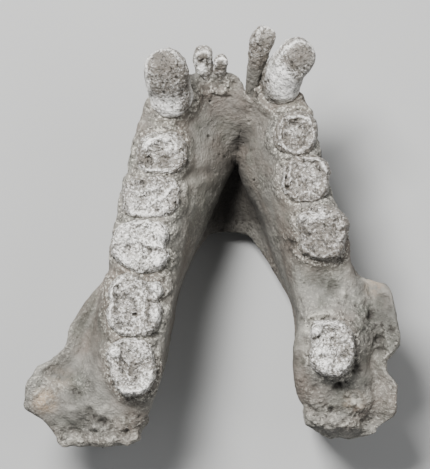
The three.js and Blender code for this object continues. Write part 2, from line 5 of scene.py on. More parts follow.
import bmesh
import bpy
import numpy as np
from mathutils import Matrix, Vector


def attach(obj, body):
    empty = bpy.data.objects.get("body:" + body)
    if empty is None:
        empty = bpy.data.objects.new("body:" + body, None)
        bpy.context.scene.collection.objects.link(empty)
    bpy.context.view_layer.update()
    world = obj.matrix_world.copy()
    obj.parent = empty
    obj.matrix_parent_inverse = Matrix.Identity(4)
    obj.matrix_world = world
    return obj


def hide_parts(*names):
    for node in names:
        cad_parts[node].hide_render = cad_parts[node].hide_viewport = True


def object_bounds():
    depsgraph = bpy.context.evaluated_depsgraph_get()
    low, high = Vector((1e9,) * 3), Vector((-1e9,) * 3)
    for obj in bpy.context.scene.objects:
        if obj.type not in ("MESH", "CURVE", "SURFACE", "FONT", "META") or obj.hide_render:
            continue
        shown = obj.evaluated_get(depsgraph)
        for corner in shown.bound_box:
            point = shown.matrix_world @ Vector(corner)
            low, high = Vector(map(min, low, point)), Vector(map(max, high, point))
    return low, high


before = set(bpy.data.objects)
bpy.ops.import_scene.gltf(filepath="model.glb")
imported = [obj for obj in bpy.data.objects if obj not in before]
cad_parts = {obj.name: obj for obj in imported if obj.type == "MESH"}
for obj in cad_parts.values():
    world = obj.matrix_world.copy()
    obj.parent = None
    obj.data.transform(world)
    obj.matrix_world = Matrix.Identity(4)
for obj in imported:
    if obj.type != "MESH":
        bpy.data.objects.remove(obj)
CAD_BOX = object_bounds()

bl_info = {
    "name": "Fossil ape jaw",
    "version": (1, 0, 0),
    "blender": (4, 5, 0),
    "location": "3D View > Sidebar > Jaw",
    "description": "Builds a life-size fossil lower jaw of a giant ape, teeth up",
    "category": "Add Mesh",
}

# Sizes in the tables below are in millimetres, and the scene is in metres.
MM = 0.001
# The middle of the jaw's bounding box in the tables' plan, which the frame puts at its origin.
MIDDLE = np.array([-0.43693, -1.67495, 0.0])
# The place in the tables' plan that the camera looks straight down on.
CAMERA_OVER = np.array([0.975, 0.488])

# Each half of the bone is carried through ten landmarks: 0 midline, 1 incisors, 2 canine, 3 corner,
# 4 and 5 premolars, 6 to 8 molars, 9 broken end. A row is (landmark, x, y, z).
# rim and lip are the outer and inner edges of the crest that holds the teeth, belly is the inner bulge
# half way down, keel and foot are the inner and outer edges of the lower border, and flare is the
# outer wall, which stands out as the stump of the rising branch behind the first molar. end is the
# middle of the broken end.
LEFT_BONE = {
    "rim": [
        (0, 10.8, 45.6, 53), (0.25, 10.2, 49.2, 54), (0.5, 8.4, 52.2, 55.5), (0.8, 4.6, 53.6, 57),
        (1, 0.6, 53.4, 57.5), (1.4, -5.2, 52.6, 58.5), (2, -12.6, 50, 59.5), (3, -21.4, 41, 60),
        (4, -24.8, 28.7, 60), (5, -27.9, 13.4, 60), (6, -31, -2.9, 60), (7, -33.4, -21.5, 59.5),
        (8, -34.6, -41.1, 58.5), (8.5, -35.6, -54, 55), (9, -36.5, -66.6, 50),
    ],
    "lip": [
        (0, 10.2, 39.2, 47.5), (1, 1.6, 41.5, 49), (2, -4.7, 38, 53), (3, -8, 32.8, 57), (4, -9.6, 25, 59),
        (5, -10.9, 10.8, 60), (6, -12.9, -4.6, 60), (7, -14.2, -22.2, 60), (8, -17.6, -41.5, 58.5),
        (8.5, -20.4, -53, 55), (9, -23.4, -64.6, 50),
    ],
    "belly": [
        (0, 8, 25.5, 33), (1, 7, 25.2, 33.5), (2, 6.5, 24.2, 34), (3, 5.3, 22, 35), (4, 3.2, 17.8, 36),
        (5, -0.6, 8.5, 37), (6, -6.6, -5.2, 38), (7, -12.8, -22.2, 40), (8, -16.8, -42, 42),
        (9, -23.2, -62.6, 36),
    ],
    "keel": [
        (0, 7.7, 1, 9), (1, 5.2, 1.2, 9), (2, 2.6, 1.2, 9), (3, 0.6, 0.8, 9), (4, -1.6, 0, 9),
        (5, -4.2, -3, 8.5), (6, -8.2, -9.5, 8), (7, -12.8, -23, 7), (8, -16.6, -42, 7), (9, -22, -60, 8),
    ],
    "foot": [
        (0, 10.2, 33.5, 14), (1, 1.2, 35.5, 13), (2, -5.5, 34.5, 12), (3, -12.5, 31, 11), (4, -19, 24, 10),
        (5, -23.6, 11.5, 10), (6, -28, -4, 9), (7, -33.5, -22, 8), (8, -40.5, -42, 7.5), (9, -42, -62, 9),
    ],
    "flare": [
        (0, 10.4, 42.8, 34), (1, 0.3, 47, 34), (2, -11.4, 48, 36), (3, -20.5, 39.5, 36),
        (4, -24.4, 28.6, 36), (5, -27.5, 13.4, 36), (6, -31.2, -2.9, 38), (6.5, -34.2, -12.2, 41),
        (7, -40.9, -21.6, 44), (7.5, -47.2, -31, 47), (7.75, -49, -36.2, 48), (8, -53.4, -41, 49),
        (8.25, -59.4, -45.4, 50), (8.5, -62.2, -51, 50), (8.75, -62, -57.2, 48), (8.88, -56, -62.2, 45),
        (9, -52.2, -66.8, 42),
    ],
    "end": (-36.5, -71.2, 34),
}
RIGHT_BONE = {
    "rim": [
        (0, 10.8, 45.6, 53), (0.5, 12.8, 46, 54), (1, 14.4, 48.6, 56), (1.3, 15, 51.6, 58),
        (1.6, 17.2, 54.2, 60), (1.85, 20.8, 52.4, 60.5), (2, 23.4, 49.6, 60), (3, 29.8, 42.6, 60),
        (4, 32.2, 32.9, 60), (5, 35.9, 18.3, 60), (6, 42.3, 0.3, 60), (7, 44.9, -15.5, 57),
        (8, 46.8, -36.2, 58), (8.5, 46.8, -48, 54.5), (9, 46.4, -60, 49),
    ],
    "lip": [
        (0, 10.2, 39.2, 47.5), (1, 14.2, 38, 49), (2, 17.1, 37, 53), (3, 19.1, 34.5, 57),
        (4, 20.4, 30.4, 59), (5, 22.9, 17, 60), (6, 27, -0.3, 60), (7, 28.1, -16.6, 57),
        (7.6, 29.4, -28, 58), (8, 28.4, -36.2, 58.5), (8.5, 28.6, -48, 55), (9, 31.2, -57.5, 49),
    ],
    "belly": [
        (0, 8, 25.5, 33), (1, 9.2, 24.6, 33.5), (2, 9.6, 22.6, 34), (3, 10.8, 20, 35), (4, 12.2, 17, 36),
        (5, 15.8, 9.8, 37), (6, 20.4, -1.6, 38), (7, 26, -18, 40), (7.5, 28.9, -27, 42),
        (8, 27.2, -37.5, 42), (8.5, 28, -48, 40), (9, 30.4, -56.5, 36),
    ],
    "keel": [
        (0, 7.7, 1, 9), (1, 10, 0.8, 9), (2, 12, 0, 9), (3, 13.8, -1.4, 9), (4, 15.4, -3.2, 9),
        (5, 17.4, -6.2, 8.5), (6, 20.6, -11, 8), (7, 27, -22, 7), (8, 29.6, -37.5, 7), (9, 31, -56, 8),
    ],
    "foot": [
        (0, 10.2, 33.5, 14), (1, 14, 33.6, 13), (2, 18.6, 32.4, 12), (3, 23.4, 29.4, 11),
        (4, 27.4, 24.4, 10), (5, 32.4, 13.4, 10), (6, 38.6, -2, 9), (7, 44, -18, 8), (8, 50.5, -38, 7.5),
        (9, 50, -59, 9),
    ],
    "flare": [
        (0, 10.4, 42.8, 34), (1, 14.6, 43.4, 34), (1.5, 17.2, 49.6, 42), (2, 22, 45.6, 36),
        (3, 28.4, 40.6, 36), (4, 31.4, 32.6, 36), (5, 35.2, 18.2, 36), (6, 42, 0.4, 38),
        (6.45, 45.2, -7.5, 41), (6.75, 48.4, -12.8, 44), (6.9, 52.6, -14.6, 46), (7, 57.6, -16.4, 48),
        (7.2, 59.6, -22, 50), (7.6, 61.4, -31.2, 51), (7.8, 61.8, -35.2, 51), (7.95, 59.4, -38.8, 50),
        (8.1, 56.6, -41.3, 49), (8.2, 57.2, -44, 49), (8.45, 61.2, -49.2, 49), (8.7, 61.6, -54.4, 48),
        (8.9, 60.6, -60, 45), (9, 55.2, -64.2, 42),
    ],
    "end": (40.5, -67.8, 32),
}
# Both halves share the seed of their waves, so that they meet smoothly at the midline. The pores and
# the chips of each half have a seed of their own.
WAVE_SEED = 11
SIDES = {"left": (LEFT_BONE, 11), "right": (RIGHT_BONE, 47)}
FIRST_MOLAR = 6
BREAK = 9
MIDLINE_LAP = 0.1  # how far each half runs past the midline, in steps between landmarks
MIDLINE_CORE = (9.6, 31, 20)  # a place in the bone that all of the midline section can be seen from
REST_LEVEL = 0.0
HOLLOW_RISE = 0.42  # height of the inner hollow between the lower border and the inner bulge
# Level of the lower border at the ten landmarks: it rests where this is under zero.
SOLE_LEVEL = [-1.5, -1.5, -1.5, -1.2, 0.3, 1.6, 2.2, 1.4, -1.0, -1.5]
# Where the outer shelf sags between rim (0) and flare (1), and how far the inner hollow is cut
# in from the lower border (0) to the inner bulge (1), at the ten landmarks.
SHELF_SAG = [0.35, 0.35, 0.35, 0.35, 0.35, 0.35, 0.4, 0.75, 1.0, 0.8]
INNER_HOLLOW = [0.85, 0.85, 0.85, 0.82, 0.8, 0.7, 0.45, 0.4, 0.4, 0.5]

# Points round a section between each two of its nine rails: lip, rim, shelf, flare, foot, sole,
# keel, inner hollow and belly. The upper side, which is seen most, has the most.
AROUND = (58, 26, 26, 42, 12, 12, 18, 20, 36)
FLARE_RAIL = 3
FRONT_RINGS = 165
REAR_RINGS = 165
BREAK_RINGS = 44

# Relief of the bone's upper side in plan. A mound is (x, y, reach, height) and a line is
# (reach, height, points): both are rounded, and a height under zero is a pit or a crease.
MOUNDS = [
    (9.6, 33, 4.6, -0.7), (9.2, 29.6, 3.6, -0.9), (0, 43.7, 0.7, -1.4), (-1, 32.6, 0.8, -1.3),
    (-9.5, 23.5, 1.2, -1.6), (-15, 19.2, 0.8, -1.6), (-13, -8.5, 0.7, -1.3), (-2.3, 38.5, 3.5, 0.5),
    (3.3, 47.6, 2.4, 0.6), (7.8, 49.6, 1.3, -0.9), (5.5, 45.3, 1.2, -0.7), (1, 48.2, 1, -0.8),
    (-48.9, -44.3, 6, -1.2), (-44.7, -51.8, 4, -1), (-41.4, -60, 5, -1.6), (-55.1, -54.4, 3, 0.8),
    (-36.5, -61.6, 3, -1.4), (-54.4, -46.3, 3.5, -0.8), (-15.3, -10.4, 3.5, -0.6), (-30, -61.6, 3, 0.8),
    (-19.2, -32.3, 2.2, -1.4), (-4.6, 9.1, 4, 0.4), (12.4, 28, 2.2, -1), (34.6, -16, 6.5, -1.1),
    (40.1, -17.6, 3.2, -1.4), (42.7, -18.6, 1.8, 0.9), (47.2, -42.6, 1.6, -1.8), (46.1, -44.3, 1.2, -1.4),
    (47.9, -44.6, 0.9, -0.9), (46.4, -40.6, 1.2, -1.2), (41.4, -48.9, 1.8, -1.8), (40.3, -50.5, 1.3, -1.4),
    (42.5, -50.3, 0.9, -0.9), (43.4, -47.9, 1.4, -0.9), (52.2, -25.8, 2.4, -1.3), (54.4, -33.9, 2.2, -1.2),
    (56.1, -37.8, 1.6, -1.2), (50.9, -37.2, 4, 0.5), (46.9, -54.8, 1.8, 1.2), (45, -52.2, 1.3, 0.8),
    (48.9, -56.7, 1.4, 0.8), (51.5, -53.5, 3, 0.6), (34.6, -55.1, 4, 0.6), (56.4, -20.9, 3, -1),
    (28.7, -37.2, 3, 0.5), (14.3, 18.3, 0.7, -1.2), (41.7, -8.5, 2, -0.9), (13, 37.8, 2.4, 0.4),
    (50.2, -20.4, 2.6, 0.6), (58.2, -24.4, 2.2, -0.8), (54, -29.2, 2.2, 0.7), (59, -31.2, 1.7, -0.7),
    (56.8, -18.6, 2, 0.6), (50.4, -31.4, 1.9, -0.9), (58.4, -36.2, 1.8, 0.6), (-33, -63.6, 1.8, -1),
    (-38.6, -64, 1.6, 0.9), (-28, -64.8, 1.5, -0.9), (-34.6, -56.6, 1.9, 0.7), (-40.2, -56.8, 1.4, -0.8),
    (-46.8, -57.4, 1.8, 0.7), (39.4, -57.6, 1.8, -0.8), (36, -61.8, 1.6, 0.7), (33.2, -49.8, 2, -0.6),
    (43.6, -61.6, 1.6, -0.9),
]
LINES = [
    (2.2, -0.7, [(-13, 17.9), (-9.1, 19.2), (-5.2, 20.3), (-1, 21.6)]),
    (3, 0.5, [(-8.5, 16.3), (-3.9, 18.3), (1.3, 19.2)]),
    (1.6, -0.9, [(-39.8, -66.5), (-36.5, -62.6), (-30.6, -61.3)]),
    (2.5, -0.7, [(-43.7, -44.3), (-40.4, -50.9), (-39.8, -58.4)]),
    (1.2, 0.7, [(-7.2, 50.2), (-5.9, 45.6), (-5.5, 41.1)]),
    (1.4, -1.2, [(22.4, -1.9), (25, -2.4), (27.6, -2.2)]),
    (1.8, -0.7, [(27.4, 0.4), (28.2, -2.6), (29.4, -5.8)]),
    (0.8, 1.4, [(31.6, -27.2), (33.8, -25.8), (37.8, -25.2)]),
    (0.7, -1.6, [(31.6, -29), (34.4, -27.6), (38.6, -27)]),
    (2.6, -0.35, [(43.7, -20.9), (45, -30.6), (47.3, -40.4), (45.6, -51.8)]),
    (1.4, 0.6, [(28.7, -56.1), (33.6, -61.3), (38.5, -65.5)]),
    (1, -0.8, [(45, -57.4), (48.9, -58.7), (52.2, -59.3)]),
    (1.6, 0.6, [(52.2, -20.9), (56.1, -26.7), (58, -33.9)]),
    (1.2, -0.5, [(17.3, 37.2), (20.5, 32.9), (21.8, 28)]),
    (1, -0.8, [(27.4, -28), (30.6, -26.7), (32.6, -28)]),
]
# Forms of the walls, as (x, y, z, reach, height): the bulges over the roots of the canines and
# incisors, the small hole below the last premolar, and broad hollows and a bulge of the outer wall.
WALLS = [
    (-14.4, 47, 46, 14, 3.2), (-2, 49, 45, 8, 1.4), (3, 47.5, 45, 6, 0.8), (-26.8, 15, 30, 2.6, -2.6),
    (-25.5, 17, 31.5, 5, -0.8), (-31, -2, 20, 16, -1.4), (-45, -46, 24, 18, -1.6), (-41, -55, 12, 10, 1.2),
    (23.6, 46, 46, 13, 3), (13.6, 45.5, 44, 7, 1.4), (35.2, 19, 30, 2.4, -2.6), (34, 21, 31.5, 5, -0.8),
    (40.5, 0, 20, 16, -1.4), (53, -40, 24, 18, -1.6), (50, -52, 12, 10, 1.2),
]
# How the relief is laid on, for the bone and the teeth.
BONE_SWAY = 0.8  # how far the outlines of the bone's relief sway
TOOTH_SWAY = 0.45  # the same on the teeth
LINE_SPREAD = 1.3  # how much wider and shallower than listed the lines are made
GROOVE_SHARE = 0.7  # how deep a groove is, as a share of its listed depth
RIDGE_SHARE = 0.65  # width of the paint of a ridge or groove, as a share of its reach

# The bone's surface. A pair of landmarks or levels is where something starts and where it is full.
FACES_UP = (0.0, 0.45)  # upward part of the normal, for the relief of the upper side
CHIPPED_END = (8.82, 9.0)  # landmarks, for the chips of the broken end
CHIPPED_STUMP = (7.2, 8.0)  # landmarks, for the chips along the edge of the branch's stump
STUMP_REACH = 0.75  # how far those chips reach from the edge, in steps between rails
STUMP_SHARE = 0.75  # how strong they are
SOCKET_REACH = 0.4  # how far from a cheek tooth the bone rises, in half sizes of the tooth
COLLAR_REACH = 0.5  # the same for a front tooth, in radii of its collar
WIDEST_COLLAR = 7.4  # a narrower collar of bone rises less, in proportion
COLLAR_SPECKS = 0.6  # how much coarser a collar is, where a cheek tooth's socket counts as 1
COLLAR_WALL = 0.4  # how much of a collar there is on the walls
ROOT_WIDTH = 0.95  # reach of a root's rib along the row, in half lengths of its tooth
ROOT_LEVELS = (22, 50)  # levels, for the rib of a root on the outer wall
ROOT_PLACES = (0.4, 0.9)  # places across the row, in half widths of the tooth, for the same
PORE_SIZES = (0.5, 1.0)  # a pore's least radius is divided by a random number between these
PORE_DEPTHS = (0.5, 1.3)  # in radii
PORE_STRETCH = (0.6, 1.4)  # along each axis
PORE_SPREAD = 1.7  # reach of a pore's bell, in radii
DEEPEST_PORE = 1.6
# Where the low inner side of the front is painted with shade, as it lies deep in shadow: its level, its
# place along Y and the upward part of its normal.
SHADED_LEVELS = (44, 28)
SHADED_PLACES = (-6, 8)
SHADED_FACING = (-0.4, 0.2)
# Waves, as (size in millimetres, layers, shift of the seed).
BONE_WAVES = ((14, 3, 0), (2.6, 3, 5), (1.3, 2, 7), (11, 2, 3))
CHIP_WAVES = (7, 4, 9)
BONE_SWAY_WAVES = ((3, 3, 21), (3, 3, 22))
TOOTH_SWAY_WAVES = ((2.2, 3, 21), (2.2, 3, 22))
CHEEK_WRINKLES = ((1.7, 3, 0), (1, 2, 3))
FRONT_WRINKLES = ((1.8, 3, 0), (1, 2, 3))
WRINKLE_STRETCH = (1, 0.6, 0.6)  # wrinkles of the front teeth are longer along Y and Z

# Places where the bone is coarser and more speckled, as (x, y, reach, strength).
COARSE_PLACES = [
    (-14, 35, 8, 1.2), (-5.5, 45, 6, 0.8), (4, 49, 5, 0.9), (9, 40, 6, 0.4), (16.5, 49, 7, 1.2),
    (20, 33, 7, 0.8), (19, 16, 6, 0.7), (24, -1, 5, 1), (51, -24, 7, 1), (55, -34, 8, 1), (44, -46, 8, 1),
    (47, -56, 9, 1.1), (34, -60, 9, 0.9), (-36, -62, 10, 1.1), (-24, -62, 8, 0.7), (-55, -52, 9, 0.7),
    (-44, -50, 6, 0.6), (-16, -12, 8, 0.8), (-8, 14, 8, 0.5), (-38, -22, 7, 0.5), (29, 6, 6, 0.6),
]
# Places where the bone is smoother.
CALM_PLACES = [
    (7, 29, 17, 1), (-3, 21, 11, 0.9), (-9, 8, 8, 0.5), (34, -16, 9, 0.6), (-41, -36, 12, 0.7),
    (24, 10, 8, 0.4),
]
# Stains of the bone in plan, as (x, y, reach, strength). The broad dark and green places on the outer walls
# of the stumps, near (-40, -28) and (53 to 56, -25 to -36), are painted shade of walls turned from the key
# light, and so is the dark place at (9.1, 31.9) in the pit behind the incisors. The pale place at (-6.5, 16)
# is painted light on the left inner shelf. The rest are stains.
STAINS = {
    "warm": [
        (3.3, 44.3, 12, 0.45), (-2.3, 24.8, 10, 0.35), (-37.2, -33.9, 14, 0.45), (54.1, -20.2, 7, 0.9),
        (48.2, -58.4, 4.5, 0.8), (45, -27.4, 7, 0.4), (24, 22, 9, 0.25),
    ],
    "ochre": [(-55.1, -54.4, 6, 0.9), (46.6, -54.4, 5, 0.7), (53.1, -16, 5, 0.4), (-50, -47, 7, 0.25)],
    # Those at (9.1, 31.9), (55.6, -29), (-39, -27) and (54, -26) are painted shade.
    "dark": [
        (9.1, 31.9, 6, 0.4), (41.1, -49.6, 3, 0.8), (46.9, -43, 3.2, 0.7), (55.6, -29, 12, 1),
        (52.8, -25.6, 3.2, 0.7), (55.2, -36.4, 4, 0.8), (-39, -27, 12, 0.3), (-9.5, 23.5, 2.6, 0.7),
        (25.1, -2, 4, 0.7), (-45, -50, 6, 0.3), (-36.5, -62, 5, 0.4), (54, -26, 4, 0.4),
    ],
    # Those at (53, -25), (56, -36) and (-40.5, -30) are painted shade on the stumps' outer walls.
    "green": [
        (40.1, -16.6, 7, 0.8), (53, -25, 12, 1), (56, -36, 8, 0.9), (-40.5, -30, 13, 0.7),
        (-14.3, -9.5, 6, 0.7), (-5.5, 11.7, 14, 0.45), (10.8, 18.3, 10, 0.3), (-44.7, -48.6, 8, 0.4),
        (-7.2, 46, 5, 0.5), (30, -12, 10, 0.3),
    ],
    "pale": [
        (42.7, -18.6, 2.6, 0.8), (32.6, -26.4, 1.8, 1), (34.6, -25.8, 2, 1), (36.8, -25.4, 2, 1),
        (38.8, -25, 1.8, 0.7), (30.4, -30.6, 2.4, 1), (30.6, -36.4, 2.2, 0.5), (46.6, -54, 3.6, 0.9),
        (48.2, -54.1, 3, 0.5), (-36.5, -58.4, 9, 0.4), (-6.5, 44.3, 3, 0.3), (33, -60, 8, 0.25),
        # (-6.5, 16) is painted light on the left half's inner shelf, which faces away from the key light.
        (24, 8, 9, 0.2), (-6.5, 16, 9, 0.4), (-4, 26, 8, 0.3),
    ],
}

